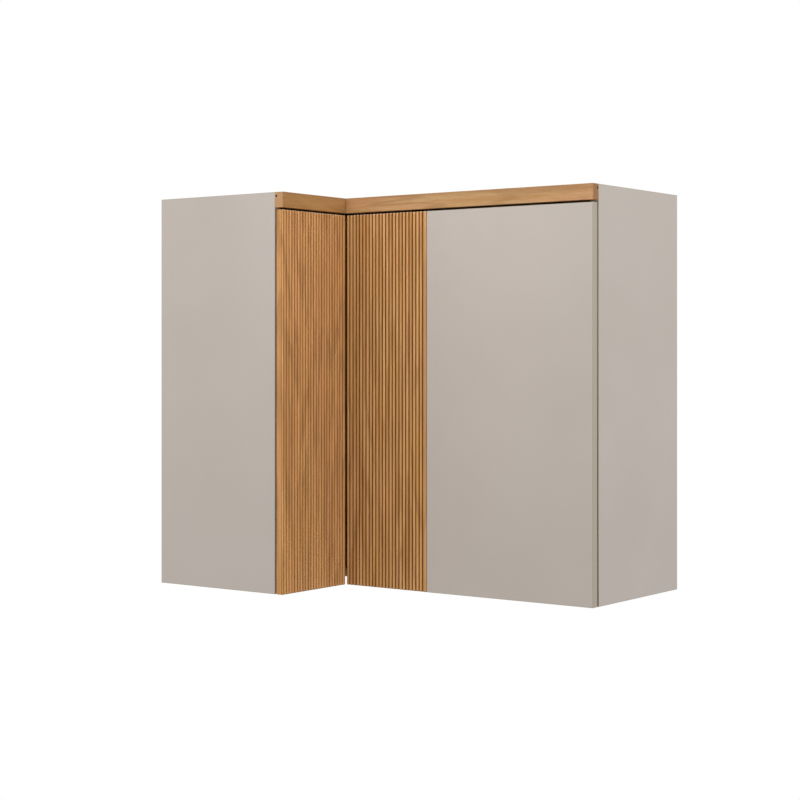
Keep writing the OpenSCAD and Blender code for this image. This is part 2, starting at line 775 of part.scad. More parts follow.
// Bumpers on the door backs, in front of the edges of the bottom panel
bumper_z = bottom_lift + mid_t;
module left_door_bumpers() {
  color(CLEAR) for (y = [y_in + bumper_hinge_in, y_face - corner_gap - bumper_free_in])
    along_x([x_edge + front_gap - bumper_t, y, bumper_z], bumper_d, bumper_t);
}
module right_door_bumpers() {
  color(CLEAR) for (x = [ribbed_x + bumper_free_in, x_in - bumper_hinge_in])
    along_y([x, y_edge - front_gap, bumper_z], bumper_d, bumper_t);
}

module left_cam_discs() {
  color(ZINC) at_left_joints(wing_cams) translate([-cam_reach, 0, 0]) cam_disc($level);
}
module right_cam_discs() {
  color(ZINC) at_right_joints(wing_cams) translate([-cam_reach, 0, 0]) cam_disc($level);
}
module left_cam_bolts() { color(ZINC) at_left_joints(wing_cams) cam_bolt(); }
module right_cam_bolts() { color(ZINC) at_right_joints(wing_cams) cam_bolt(); }
module left_panel_dowels() { color(BEECH) at_left_joints(wing_dowels) panel_dowel(); }
module right_panel_dowels() { color(BEECH) at_right_joints(wing_dowels) panel_dowel(); }

// Shelf pins: half in the wall, half under the shelf
module shelf_pin() {
  translate([0, 0, -shelf_pin_bite]) cylinder(d = shelf_pin_d, h = shelf_pin_bite + shelf_pin_out);
}
module shelf_pins() {
  z = shelf_z - shelf_pin_d / 2;
  color(STEEL) {
    for (p = shelf_rows) {
      translate([x_in, y_edge + p, z]) rotate([0, -90, 0]) shelf_pin();
      translate([x_edge - p, y_in, z]) rotate([-90, 0, 0]) shelf_pin();
    }
    translate([x_wall + post_w, y_wall - post_pin_in, z]) rotate([0, 90, 0]) shelf_pin();
  }
}

left_end_panel();
right_end_panel();
top_panel();
bottom_panel();
shelf();
left_back_panel();
right_back_panel();
corner_post();
left_hanging_rail();
right_hanging_rail();
left_front_rail();
right_front_rail();
left_door_board();
right_door_ribbed_board();
right_door_smooth_board();
door_cleats();
cleat_screws();
door_joint_dowels();
left_hinge_cups();
left_hinge_pins();
left_hinge_arms();
left_hinge_plates();
left_cup_screws();
left_plate_screws();
left_arm_screws();
right_hinge_cups();
right_hinge_pins();
right_hinge_arms();
right_hinge_plates();
right_cup_screws();
right_plate_screws();
right_arm_screws();
left_door_bumpers();
right_door_bumpers();
left_cam_discs();
right_cam_discs();
left_cam_bolts();
right_cam_bolts();
left_panel_dowels();
right_panel_dowels();
front_rail_dowels();
rail_corner_dowel();
shelf_pins();
left_back_screws();
right_back_screws();
hanging_rail_screws();
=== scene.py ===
"""Dresses the wall-hung corner cabinet: boards, ribbed doors, hinges, fasteners and a plain studio."""

from __future__ import annotations

import json
import logging
import math
from collections.abc import Callable, Iterable, Mapping, Sequence
from dataclasses import dataclass, replace
from enum import Enum
from functools import lru_cache
from typing import Any, ClassVar

import bmesh
import bpy
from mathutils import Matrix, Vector

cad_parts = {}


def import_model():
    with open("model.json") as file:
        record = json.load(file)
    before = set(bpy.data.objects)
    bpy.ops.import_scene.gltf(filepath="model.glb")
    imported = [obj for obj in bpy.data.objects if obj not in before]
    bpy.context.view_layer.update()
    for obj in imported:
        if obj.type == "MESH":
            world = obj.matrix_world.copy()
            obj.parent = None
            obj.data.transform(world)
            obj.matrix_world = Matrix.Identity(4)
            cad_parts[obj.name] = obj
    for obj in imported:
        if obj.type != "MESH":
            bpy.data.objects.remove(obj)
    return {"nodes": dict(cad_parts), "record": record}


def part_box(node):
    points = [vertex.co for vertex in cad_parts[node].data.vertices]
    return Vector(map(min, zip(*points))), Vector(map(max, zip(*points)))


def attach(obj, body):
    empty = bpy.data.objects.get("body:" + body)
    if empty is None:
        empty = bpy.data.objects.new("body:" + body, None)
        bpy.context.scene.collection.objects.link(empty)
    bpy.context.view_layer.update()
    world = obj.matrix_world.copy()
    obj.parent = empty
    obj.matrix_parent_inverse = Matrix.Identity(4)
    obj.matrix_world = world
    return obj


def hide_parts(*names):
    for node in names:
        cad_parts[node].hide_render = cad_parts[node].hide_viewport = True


LOG = logging.getLogger("cabinet")
MM = 0.001
# Vertices nearer than this touch
TINY = 0.001 * MM
FULL_TURN = 2 * math.pi
# Faces that turn by less lie in one plane
FLAT = math.radians(0.5)
# An edge that turns by more belongs to a board's outline
SQUARE = math.radians(60)
# The cosine between two edges of one straight run
STRAIGHT = 0.9999
Way = tuple[int, int, int]

# sRGB decoding is a straight line below this
SRGB_KNEE = 0.04045


def linear(hex_colour: str) -> tuple[float, float, float, float]:
    """Turns an sRGB hex colour to linear.

    Args:
        hex_colour: Six hex digits.

    Returns:
        The linear red, green, blue and an alpha of 1.
    """
    channels = (int(hex_colour[i : i + 2], 16) / 255 for i in (0, 2, 4))
    r, g, b = (c / 12.92 if c <= SRGB_KNEE else ((c + 0.055) / 1.055) ** 2.4 for c in channels)
    return r, g, b, 1.0


def add(
    tree: bpy.types.NodeTree,
    kind: str,
    settings: Mapping[str | int, Any] | None = None,
    links: Mapping[str | int, bpy.types.NodeSocket] | None = None,
) -> bpy.types.Node:
    """Adds a node with its settings and links.

    Args:
        tree: The tree that gets the node.
        kind: The node's type.
        settings: Values of the node's attributes, or else of its inputs by name or number.
        links: The socket that feeds each input.

    Returns:
        The new node.
    """
    node = tree.nodes.new(kind)
    for key, value in (settings or {}).items():
        if isinstance(key, str) and hasattr(node, key):
            setattr(node, key, value)
        else:
            node.inputs[key].default_value = value
    for key, source in (links or {}).items():
        tree.links.new(source, node.inputs[key])
    return node


class Grain(Enum):
    """The way the wood's fibres run."""

    UPRIGHT = (0, 0, 1)
    ALONG_RIGHT_WING = (1, 0, 0)
    ALONG_LEFT_WING = (0, 1, 0)

    def stretched(self, ratio: float) -> tuple[float, ...]:
        """Gives the scale that stretches a pattern along the fibres by the ratio."""
        return tuple(1 / ratio if along else 1.0 for along in self.value)


Socket = bpy.types.NodeSocket


def span(low: float, high: float, to_low: float = 0.0, to_high: float = 1.0) -> dict[str | int, Any]:
    """Gives the settings that map one range onto another and hold it there."""
    return {"From Min": low, "From Max": high, "To Min": to_low, "To Max": to_high}


@dataclass(frozen=True)
class Canvas:
    """A material's tree with its Principled BSDF, and the place on the piece, in metres."""

    tree: bpy.types.NodeTree
    shader: bpy.types.Node
    place: Socket

    def add(
        self,
        kind: str,
        settings: Mapping[str | int, Any] | None = None,
        links: Mapping[str | int, Socket] | None = None,
        output: str | int = 0,
    ) -> Socket:
        """Adds a node, as the function add does, and gives one of its outputs."""
        return add(self.tree, kind, settings, links).outputs[output]

    def tint(
        self, base: Socket | str, over: Socket | str, pattern: Socket, limits: tuple[float, float], share: float = 1.0
    ) -> Socket:
        """Lays a colour over another where a pattern runs from one value to another.

        Args:
            base: The lower colour, as a socket or hex digits.
            over: The upper colour, as a socket or hex digits.
            pattern: The pattern.
            limits: The values where the upper colour starts and where it is full.
            share: How strong the upper colour is where it is full.

        Returns:
            The colour.
        """
        amount = self.add("ShaderNodeMapRange", span(*limits, 0, share), {"Value": pattern})
        mixed = add(self.tree, "ShaderNodeMix", {"data_type": "RGBA"}, {0: amount})
        for number, colour in ((6, base), (7, over)):
            if isinstance(colour, str):
                mixed.inputs[number].default_value = linear(colour)
            else:
                self.tree.links.new(colour, mixed.inputs[number])
        return mixed.outputs[2]

    def surface(
        self,
        colour: Socket,
        relief: Socket,
        depth_mm: float,
        rough: tuple[float, float] | float,
        pattern: Socket | None = None,
    ) -> None:
        """Gives the shader its colour, roughness and relief.

        Args:
            colour: The colour.
            relief: The height, from 0 to 1.
            depth_mm: What a height of 1 is.
            rough: One roughness, or its two ends where it varies.
            pattern: What the roughness follows, or None for the relief.
        """
        bump = self.add("ShaderNodeBump", {"Strength": 1.0, "Distance": depth_mm * MM}, {"Height": relief})
        sources = {"Base Color": colour, "Normal": bump}
        if isinstance(rough, tuple):
            sources["Roughness"] = self.add("ShaderNodeMapRange", span(0.3, 0.7, *rough), {"Value": pattern or relief})
        else:
            self.shader.inputs["Roughness"].default_value = rough
        for name, source in sources.items():
            self.tree.links.new(source, self.shader.inputs[name])


@dataclass(frozen=True)
class Finish:
    """What a surface is made of and how it was made."""

    name: str

    def paint(self, canvas: Canvas) -> None:
        """Adds the finish's nodes to a material.

        Args:
            canvas: The material.
        """
        raise NotImplementedError


@lru_cache(maxsize=None)
def material(finish: Finish) -> bpy.types.Material:
    """Makes a finish's material, once.

    Args:
        finish: The finish.

    Returns:
        Its material.
    """
    made = bpy.data.materials.new(finish.name)
    made.use_nodes = True
    tree = made.node_tree
    tree.nodes.clear()
    shader = add(tree, "ShaderNodeBsdfPrincipled")
    add(tree, "ShaderNodeOutputMaterial", links={"Surface": shader.outputs[0]})
    finish.paint(Canvas(tree, shader, add(tree, "ShaderNodeTexCoord").outputs["Object"]))
    return made


@dataclass(frozen=True)
class Melamine(Finish):
    """Melamine-faced chipboard with a matt pearl texture: an even tone with a soft, broken sheen."""

    colour: str = "BEB4AC"
    deep: str = "BBB1A8"
    roughness: float = 0.52
    sheen_play: float = 0.06
    # Real pearls are about 0.4 mm wide, and are drawn coarser so that they show
    pearl_mm: float = 1.1
    cloud_mm: float = 180.0
    relief_mm: float = 0.012

    def paint(self, canvas: Canvas) -> None:
        """Adds faint clouds in the tone and a fine pearl relief.

        Args:
            canvas: The material.
        """
        cloud, pearl = (
            canvas.add("ShaderNodeTexNoise", {"Scale": 1 / (size * MM), "Detail": detail}, {"Vector": canvas.place})
            for size, detail in ((self.cloud_mm, 3.0), (self.pearl_mm, 2.0))
        )
        tone = canvas.tint(self.colour, self.deep, cloud, (0.35, 0.65))
        rough = (self.roughness - self.sheen_play, self.roughness + self.sheen_play)
        canvas.surface(tone, pearl, self.relief_mm, rough)


@dataclass(frozen=True)
class EdgeBand(Finish):
    """ABS edge band, rolled and scraped: the board's colour, smoother, with faint marks of the scraper."""

    colour: str = "ABA08F"
    deep: str = "A39885"
    deep_share: float = 0.25
    roughness: float = 0.38
    sheen_play: float = 0.05
    # The scraper's real marks are about 0.2 mm apart, and are drawn coarser so that they show
    line_mm: float = 0.6
    relief_mm: float = 0.006

    def paint(self, canvas: Canvas) -> None:
        """Adds faint tone changes and the fine chatter of the scraper.

        Args:
            canvas: The material.
        """
        scale = {"Scale": 1 / (self.line_mm * MM), "Detail": 1.0}
        chatter = canvas.add("ShaderNodeTexNoise", scale, {"Vector": canvas.place})
        tone = canvas.tint(self.colour, self.deep, chatter, (0.3, 0.7), self.deep_share)
        rough = (self.roughness - self.sheen_play, self.roughness + self.sheen_play)
        canvas.surface(tone, chatter, self.relief_mm, rough)


@dataclass(frozen=True)
class Ribs:
    """Where a board's ribs lie, for their tones and for the painted shade in the grooves between them."""

    outer_rib: float
    # The groove colour below, its share at the grooves' floor, and the part of the depth where it fades out paint
    # shade into the grooves
    groove_shade: str
    groove_shade_share: float
    groove_w: float = 2.4 * MM
    pitch: float = 7.43 * MM
    depth: float = 2.8 * MM
    groove_shade_top: float = 0.3
    tone: float = 0.1
    edge_share: float = 0.7
    board_t: float = 15 * MM
    across: tuple[int, int, int] = (1, 0, 0)
    out: tuple[int, int, int] = (0, -1, 0)
    start: float = 0.0
    face: float = 0.0
    width: float = 0.0
    foot: float = 0.0
    length: float = 0.0

    def laid_on(self, node: str, across: tuple[int, int, int], out: tuple[int, int, int]) -> Ribs:
        """Lays the ribs on a board.

        Args:
            node: The board's node.
            across: The way from the board's first edge to its outer rib.
            out: The way its face looks.

        Returns:
            The ribs with their place.
        """
        low, high = (Vector(corner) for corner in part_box(node))
        first, start = sorted(Vector(across).dot(corner) for corner in (low, high))
        face = max(Vector(out).dot(corner) for corner in (low, high))
        place = {"start": start, "face": face, "width": start - first, "foot": low.z, "length": high.z - low.z}
        return replace(self, across=across, out=out, **place)


@dataclass(frozen=True)
class TopDarkening:
    """A darkening of the wood along a rail's upper edge, stronger towards the top."""

    low: float
    high: float
    share: float


@dataclass(frozen=True)
class Oak(Finish):
    """Oak under matt lacquer: warm tan with darker growth lines, short open pores and a low sheen."""

    grain: Grain = Grain.UPRIGHT
    light: str = "C79A6A"
    mid: str = "B5834F"
    dark: str = "8F6238"
    # end colours the ends that face the grain's way, far_end those that face away; on the ribs they carry painted
    # light and shade, on the right rail painted shade
    end: str = "B08660"
    far_end: str = "B08660"
    roughness: float = 0.55
    gloss: float = 0.25
    # Real fibres and pores are about 0.2 mm wide, and are drawn coarser so that they show
    fibre_mm: float = 0.8
    fibre_ratio: float = 45.0
    fibre_share: float = 0.5
    band_mm: float = 9.0
    band_ratio: float = 22.0
    ring_mm: float = 38.0
    ring_ratio: float = 14.0
    rings: float = 46.0
    ring_depth: float = 0.35
    pore_mm: float = 0.4
    pore_ratio: float = 16.0
    pore_share: float = 0.4
    pore_limits: tuple[float, float] = (0.6, 0.72)
    speck_mm: float = 0.7
    relief_mm: float = 0.05
    blush: str = "CB9468"
    blush_mm: float = 14.0
    blush_share: float = 0.6
    ribs: Ribs | None = None
    band: TopDarkening | None = None

    def _streaks(self, canvas: Canvas, width_mm: float, ratio: float, detail: float) -> Socket:
        """Makes noise stretched along the fibres.

        Args:
            canvas: The material.
            width_mm: The streaks' width.
            ratio: How many times longer than wide they are.
            detail: The noise's detail.

        Returns:
            The noise, from 0 to 1.
        """
        mapped = canvas.add("ShaderNodeMapping", {"Scale": self.grain.stretched(ratio)}, {"Vector": canvas.place})
        noise = {"Scale": 1 / (width_mm * MM), "Detail": detail, "Distortion": 0.15}
        return canvas.add("ShaderNodeTexNoise", noise, {"Vector": mapped})

    def paint(self, canvas: Canvas) -> None:
        """Adds bands, growth lines, fibres and pores, and end grain where the fibres come out, whose colours carry
        painted light and shade on some pieces.

        Args:
            canvas: The material.
        """
        bands = self._streaks(canvas, self.band_mm, self.band_ratio, 3.0)
        fibres = self._streaks(canvas, self.fibre_mm, self.fibre_ratio, 4.0)
        pores = self._streaks(canvas, self.pore_mm, self.pore_ratio, 1.0)
        swell = self._streaks(canvas, self.ring_mm, self.ring_ratio, 2.0)
        warm = self._streaks(canvas, self.blush_mm, self.band_ratio, 1.0)
        turned = canvas.add("ShaderNodeMath", {"operation": "MULTIPLY", 1: self.rings}, {0: swell})
        lines = canvas.add("ShaderNodeMath", {"operation": "SINE"}, {0: turned})
        tone = canvas.tint(self.light, self.mid, bands, (0.35, 0.65))
        tone = canvas.tint(tone, self.blush, warm, (0.45, 0.65), self.blush_share)
        tone = canvas.tint(tone, self.dark, lines, (0.1, 1.0), self.ring_depth)
        tone = canvas.tint(tone, self.dark, fibres, (0.42, 0.72), self.fibre_share)
        tone = canvas.tint(tone, self.dark, pores, self.pore_limits, self.pore_share)
        if self.ribs:
            tone = self._rib_tones(canvas, tone, self.ribs)
        # Darker towards the rail's upper edge
        if self.band:
            height = canvas.add("ShaderNodeSeparateXYZ", links={0: canvas.place}, output="Z")
            tone = canvas.tint(tone, self.dark, height, (self.band.low, self.band.high), self.band.share)
        tone = self._end_grain(canvas, tone)
        pits = canvas.add("ShaderNodeMapRange", span(*self.pore_limits, 0, self.pore_share), {"Value": pores})
        relief = canvas.add("ShaderNodeMath", {"operation": "SUBTRACT"}, {0: fibres, 1: pits})
        canvas.surface(tone, relief, self.relief_mm, (self.roughness - 0.07, self.roughness + 0.08), fibres)
        canvas.shader.inputs["Specular IOR Level"].default_value = self.gloss

    def _rib_tones(self, canvas: Canvas, tone: Socket, ribs: Ribs) -> Socket:
        """Gives each rib a tone of its own, and paints shade into the grooves, darkest at their floor.

        Args:
            canvas: The material.
            tone: The wood's colour.
            ribs: Where the ribs lie.

        Returns:
            The colour with the ribs' tones.
        """
        across, out = (
            canvas.add("ShaderNodeVectorMath", {"operation": "DOT_PRODUCT", 1: way}, {0: canvas.place}, "Value")
            for way in (ribs.across, ribs.out)
        )
        moved = canvas.add("ShaderNodeMath", {"operation": "SUBTRACT", 1: ribs.start}, {0: across})
        number = moved
        for operation, value in (("ADD", ribs.outer_rib + ribs.groove_w / 2), ("DIVIDE", ribs.pitch), ("FLOOR", 0)):
            number = canvas.add("ShaderNodeMath", {"operation": operation, 1: value}, {0: number})
        chance = canvas.add("ShaderNodeTexWhiteNoise", {"noise_dimensions": "1D"}, {"W": number})
        toned = canvas.tint(tone, self.dark, chance, (0, 1), ribs.tone)
        # Painted shade in the grooves: full at their floor, fading out towards the ribs' tops, weaker at the board's
        # two edges, and only on the board's front
        deep = span(ribs.face - ribs.depth, ribs.face - ribs.groove_shade_top * ribs.depth, ribs.groove_shade_share, 0)
        near = span(-0.3 * MM, -0.1 * MM, 1, ribs.edge_share)
        far = span(0.1 * MM - ribs.width, 0.3 * MM - ribs.width, ribs.edge_share, 1)
        back = ribs.face - ribs.board_t
        ahead = span(back + 0.05 * MM, back + 0.2 * MM)
        groove_shade_amount = canvas.add("ShaderNodeMapRange", deep, {"Value": out})
        for ranges, value in ((near, moved), (far, moved), (ahead, out)):
            share = canvas.add("ShaderNodeMapRange", ranges, {"Value": value})
            groove_shade_amount = canvas.add("ShaderNodeMath", {"operation": "MULTIPLY"}, {0: groove_shade_amount, 1: share})
        groove_shade = {"data_type": "RGBA", "blend_type": "MULTIPLY", 7: linear(ribs.groove_shade)}
        return canvas.add("ShaderNodeMix", groove_shade, {0: groove_shade_amount, 6: toned}, 2)

    def _end_grain(self, canvas: Canvas, tone: Socket) -> Socket:
        """Shows the cut ends of the fibres on faces across the grain, with a colour for each way they face; some
        pieces use these colours for painted light and shade on their ends.

        Args:
            canvas: The material.
            tone: The wood's colour on its sides.

        Returns:
            The colour with end grain.
        """
        normal = canvas.add("ShaderNodeTexCoord", output="Normal")
        along = {"operation": "DOT_PRODUCT", 1: self.grain.value}
        facing = canvas.add("ShaderNodeVectorMath", along, {0: normal}, "Value")
        scale = {"Scale": 1 / (self.speck_mm * MM), "Detail": 3.0}
        speck = canvas.add("ShaderNodeTexNoise", scale, {"Vector": canvas.place})
        for colour, limits in ((self.end, (0.55, 0.68)), (self.far_end, (-0.55, -0.68))):
            cut = canvas.tint(colour, self.dark, speck, (0.35, 0.7), 0.45)
            tone = canvas.tint(tone, cut, facing, limits)
        return tone


@dataclass(frozen=True)
class Fibreboard(Finish):
    """Thin fibreboard with a printed white face: flat and dull, with a faint fibre mottle."""

    colour: str = "E4E0D8"
    deep: str = "D8D2C6"
    roughness: float = 0.7
    mottle_mm: float = 2.5
    relief_mm: float = 0.03

    def paint(self, canvas: Canvas) -> None:
        """Adds the mottle of short pressed fibres.

        Args:
            canvas: The material.
        """
        scale = {"Scale": 1 / (self.mottle_mm * MM), "Detail": 6.0}
        mottle = canvas.add("ShaderNodeTexNoise", scale, {"Vector": canvas.place})
        tone = canvas.tint(self.colour, self.deep, mottle, (0.35, 0.7))
        canvas.surface(tone, mottle, self.relief_mm, self.roughness)


@dataclass(frozen=True)
class PlatedSteel(Finish):
    """Plated sheet steel: a satin metal with slightly cloudy gloss."""

    colour: str = "C9C6BF"
    cloud: str = "BDBAB3"
    roughness: float = 0.27
    cloud_mm: float = 6.0
    relief_mm: float = 0.01

    def paint(self, canvas: Canvas) -> None:
        """Adds the plating's faint clouds, in tone, sheen and relief.

        Args:
            canvas: The material.
        """
        scale = {"Scale": 1 / (self.cloud_mm * MM), "Detail": 4.0}
        cloud = canvas.add("ShaderNodeTexNoise", scale, {"Vector": canvas.place})
        tone = canvas.tint(self.colour, self.cloud, cloud, (0.35, 0.65))
        canvas.surface(tone, cloud, self.relief_mm, (self.roughness - 0.03, self.roughness + 0.04))
        canvas.shader.inputs["Metallic"].default_value = 1.0


@dataclass(frozen=True)
class ClearRubber(Finish):
    """Cast clear polyurethane: a soft, glassy dot with tiny bubbles."""

    colour: str = "E8ECEC"
    bubble: str = "CDD3D3"
    roughness: float = 0.16
    clear: float = 0.85
    ior: float = 1.48
    bubble_mm: float = 0.8
    relief_mm: float = 0.01

    def paint(self, canvas: Canvas) -> None:
        """Adds the tint and the bubbles.

        Args:
            canvas: The material.
        """
        bubbles = canvas.add("ShaderNodeTexVoronoi", {"Scale": 1 / (self.bubble_mm * MM)}, {"Vector": canvas.place})
        tone = canvas.tint(self.colour, self.bubble, bubbles, (0.2, 0.0))
        canvas.surface(tone, bubbles, self.relief_mm, self.roughness)
        canvas.shader.inputs["Transmission Weight"].default_value = self.clear
        canvas.shader.inputs["IOR"].default_value = self.ior


@dataclass(frozen=True)
class StudioFloor(Finish):
    """Matt painted studio floor: pale where the cabinet hangs, and lost in the white surround farther out."""

    colour: str = "DCDCDA"
    roughness: float = 0.85
    gloss: float = 0.2
    near_white: float = 0.4
    plain_r: float = 0.5
    white_r: float = 2.6

    def paint(self, canvas: Canvas) -> None:
        """Lets the camera see the floor fade to white with the distance from its middle.

        Args:
            canvas: The material.
        """
        canvas.shader.inputs["Base Color"].default_value = linear(self.colour)
        canvas.shader.inputs["Roughness"].default_value = self.roughness
        canvas.shader.inputs["Specular IOR Level"].default_value = self.gloss
        flat = canvas.add("ShaderNodeVectorMath", {"operation": "MULTIPLY", 1: (1, 1, 0)}, {0: canvas.place})
        distance = canvas.add("ShaderNodeVectorMath", {"operation": "LENGTH"}, {0: flat}, "Value")
        fade = span(self.plain_r, self.white_r, self.near_white)
        far = canvas.add("ShaderNodeMapRange", fade, {"Value": distance})
        seen = canvas.add("ShaderNodeLightPath", output="Is Camera Ray")
        share = canvas.add("ShaderNodeMath", {"operation": "MULTIPLY"}, {0: far, 1: seen})
        white = canvas.add("ShaderNodeEmission", {"Color": (1, 1, 1, 1), "Strength": 1.0})
        mixed = canvas.add("ShaderNodeMixShader", links={0: share, 1: canvas.shader.outputs[0], 2: white})
        output = next(node for node in canvas.tree.nodes if node.bl_idname == "ShaderNodeOutputMaterial")
        canvas.tree.links.new(mixed, output.inputs["Surface"])


BEIGE = Melamine("matt melamine, beige grey")
BEIGE_BAND = EdgeBand("ABS edge band, beige grey")
WHITE = Melamine("matt melamine, white", colour="E9E7E2", deep="E3E0DA", roughness=0.45)
BACK = Fibreboard("printed fibreboard, white")
# In both rib finishes below, the groove colour and its share in Ribs are painted shade in the grooves, stronger on the
# right door
RIB_OAK_RIGHT = Oak(
    # end is a painted highlight on the ribs' upper ends, far_end painted shade on their lower ends
    "oak ribs, upright, right door", light="DDAE74", mid="CA9656", blush="DAA570", end="F0D2B0", far_end="644224",
    fibre_share=0.34, pore_share=0.25, ribs=Ribs(7.3 * MM, groove_shade="B6880C", groove_shade_share=1.0),
)
RIB_OAK_LEFT = Oak(
    # end is a painted highlight on the ribs' upper ends, far_end painted shade on their lower ends
    "oak ribs, upright, left door", light="E6B173", mid="DAA262", blush="E5A972", end="F0CFA8", far_end="644224",
    fibre_share=0.3, pore_share=0.22, ribs=Ribs(6.4 * MM, groove_shade="C08A00", groove_shade_share=0.44),
)
# The right rail's end colour is darker, partly as end grain and partly as painted shade on its right end
RAIL_OAK_RIGHT = Oak(
    "oak rail, right wing", grain=Grain.ALONG_RIGHT_WING, light="C9A373", mid="B98D58", blush="D0976E", end="9A7046",
    band=TopDarkening(684 * MM, 698 * MM, 0.3),
)
# The left rail's tones are darker than the right rail's, partly as a darker piece of oak and partly as painted shade
# on its front face
RAIL_OAK_LEFT = Oak(
    "oak rail, left wing", grain=Grain.ALONG_LEFT_WING, light="C2935A", mid="B28048", blush="C79262", far_end="C2966A",
    band=TopDarkening(684 * MM, 699 * MM, 0.45),
)
# Painted shade: a near-black finish, on the fibreboard recipe, for the wall and floor of the rails' bores
BORE_SHADE = Fibreboard("drilled oak, in its own shade", colour="2A1A10", deep="1C110A")
BEECH_ROD = Oak(
    "beech rod, along the right wing", grain=Grain.ALONG_RIGHT_WING, light="DDBB90", mid="D3AC7E", dark="B98D60",
    end="C79E72", far_end="C79E72", ring_depth=0.12,
)
BEECH_POST = Oak(
    "beech post, upright", light="DDBB90", mid="D3AC7E", dark="B98D60", end="C79E72", far_end="C79E72",
    ring_depth=0.12,
)
NICKEL = PlatedSteel("nickel-plated steel")
ZINC = PlatedSteel("zinc-plated steel", colour="BFC3C4", cloud="A9ABA4", roughness=0.36, cloud_mm=2.5)
YELLOW_ZINC = PlatedSteel(
    "yellow-passivated zinc", colour="D8C08A", cloud="BFA56C", roughness=0.33, cloud_mm=2.0
)
RUBBER = ClearRubber("clear polyurethane")


@dataclass(frozen=True)
class Face:
    """A plane of a board's outline: its axis, and whether it is the high or the low side."""

    axis: int
    high: bool


@dataclass
class Cabinet:
    """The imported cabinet: its nodes and the bodies and finish slots that they belong to."""

    nodes: dict[str, bpy.types.Object]
    bodies: dict[str, str]
    slots: dict[str, str]

    @classmethod
    def load(cls) -> Cabinet:
        """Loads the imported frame.

        Returns:
            The cabinet.
        """
        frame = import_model()
        record = frame["record"]
        bodies = {n: body for body, names in record["behaviour"]["bodies"].items() for n in names}
        slots = {n: row["slot"] for row in record["materials"] for n in row.get("nodes", [])}
        return cls(frame["nodes"], bodies, slots)

    def stand_in(self, piece: bpy.types.Object, *names: str) -> None:
        """Puts a finished piece in the place of CAD nodes.

        Args:
            piece: The piece.
            names: The nodes it stands for, all on one body.
        """
        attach(piece, self.bodies[names[0]])
        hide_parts(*names)
        LOG.info("%s stands for %s", piece.name, ", ".join(names))

    def solids(self, name: str) -> list[tuple[Vector, Vector]]:
        """Gives the lowest and highest corner of each of a node's solids.

        Args:
            name: The node.

        Returns:
            The corners, solid by solid.
        """
        shape = self.merged(name)
        left = set(shape.verts)
        boxes = []
        for start in shape.verts:
            if start not in left:
                continue
            left.discard(start)
            group, front = [start], [start]
            while front:
                ahead = [e.other_vert(v) for v in front for e in v.link_edges]
                front = [v for v in dict.fromkeys(ahead) if v in left]
                left.difference_update(front)
                group += front
            low = Vector(min(v.co[i] for v in group) for i in range(3))
            high = Vector(max(v.co[i] for v in group) for i in range(3))
            boxes.append((low, high))
        shape.free()
        return boxes

    def merged(self, name: str) -> bmesh.types.BMesh:
        """Gives a CAD node's shape with its triangles joined into flat faces.

        Args:
            name: The node.

        Returns:
            A new bmesh of the shape.
        """
        shape = bmesh.new()
        shape.from_mesh(self.nodes[name].data)
        bmesh.ops.remove_doubles(shape, verts=shape.verts, dist=2 * TINY)
        bmesh.ops.dissolve_limit(shape, angle_limit=FLAT, verts=shape.verts, edges=shape.edges)
        return shape


def as_piece(shape: bmesh.types.BMesh, name: str, finishes: Sequence[Finish]) -> bpy.types.Object:
    """Makes a shape an object with its finishes.

    Args:
        shape: The shape, which is freed.
        name: The object's name.
        finishes: The finishes, by the faces' material number.

    Returns:
        The object, linked to the scene.
    """
    mesh = bpy.data.meshes.new(name)
    shape.to_mesh(mesh)
    shape.free()
    for finish in finishes:
        mesh.materials.append(material(finish))
    piece = bpy.data.objects.new(name, mesh)
    bpy.context.scene.collection.objects.link(piece)
    return piece


def settle(piece: bpy.types.Object) -> None:
    """Turns a piece's modifiers into its plain mesh.

    Args:
        piece: The piece.
    """
    graph = bpy.context.evaluated_depsgraph_get()
    graph.update()
    result = bpy.data.meshes.new_from_object(piece.evaluated_get(graph), depsgraph=graph)
    old = piece.data
    piece.modifiers.clear()
    piece.data = result
    result.name = piece.name
    bpy.data.meshes.remove(old)


def run_tree(
    piece: bpy.types.Object, made: tuple[bpy.types.NodeTree, Mapping[str, str]], values: Mapping[str, Any]
) -> None:
    """Runs a Geometry Nodes tree on a piece and keeps the result as its plain mesh.

    Args:
        piece: The piece.
        made: The tree, and its inputs' identifiers by name.
        values: The inputs' values by name.
    """
    tree, names = made
    modifier = piece.modifiers.new(tree.name, "NODES")
    modifier.node_group = tree
    for name, value in values.items():
        modifier[names[name]] = value
    settle(piece)


def smooth_eased(piece: bpy.types.Object, angle: float) -> None:
    """Shades eased edges smoothly while large faces stay flat.

    Args:
        piece: The piece.
        angle: The angle in degrees past which an edge stays sharp.
    """
    for polygon in piece.data.polygons:
        polygon.use_smooth = True
    piece.data.set_sharp_from_angle(angle=math.radians(angle))
    normals = piece.modifiers.new("even normals", "WEIGHTED_NORMAL")
    normals.keep_sharp = True
    settle(piece)


@dataclass
class Part:
    """What stands for one of the CAD's nodes."""

    node: str
    sharp_from: ClassVar[float] = 35.0

    def build(self, cabinet: Cabinet) -> None:
        """Makes the piece, shades it and puts it in its node's place.

        Args:
            cabinet: The cabinet.
        """
        piece = self._make(cabinet)
        smooth_eased(piece, self.sharp_from)
        cabinet.stand_in(piece, self.node)

    def _make(self, cabinet: Cabinet) -> bpy.types.Object:
        """Makes the piece from its node's shape.

        Args:
            cabinet: The cabinet.

        Returns:
            The piece, not yet shaded.
        """
        raise NotImplementedError


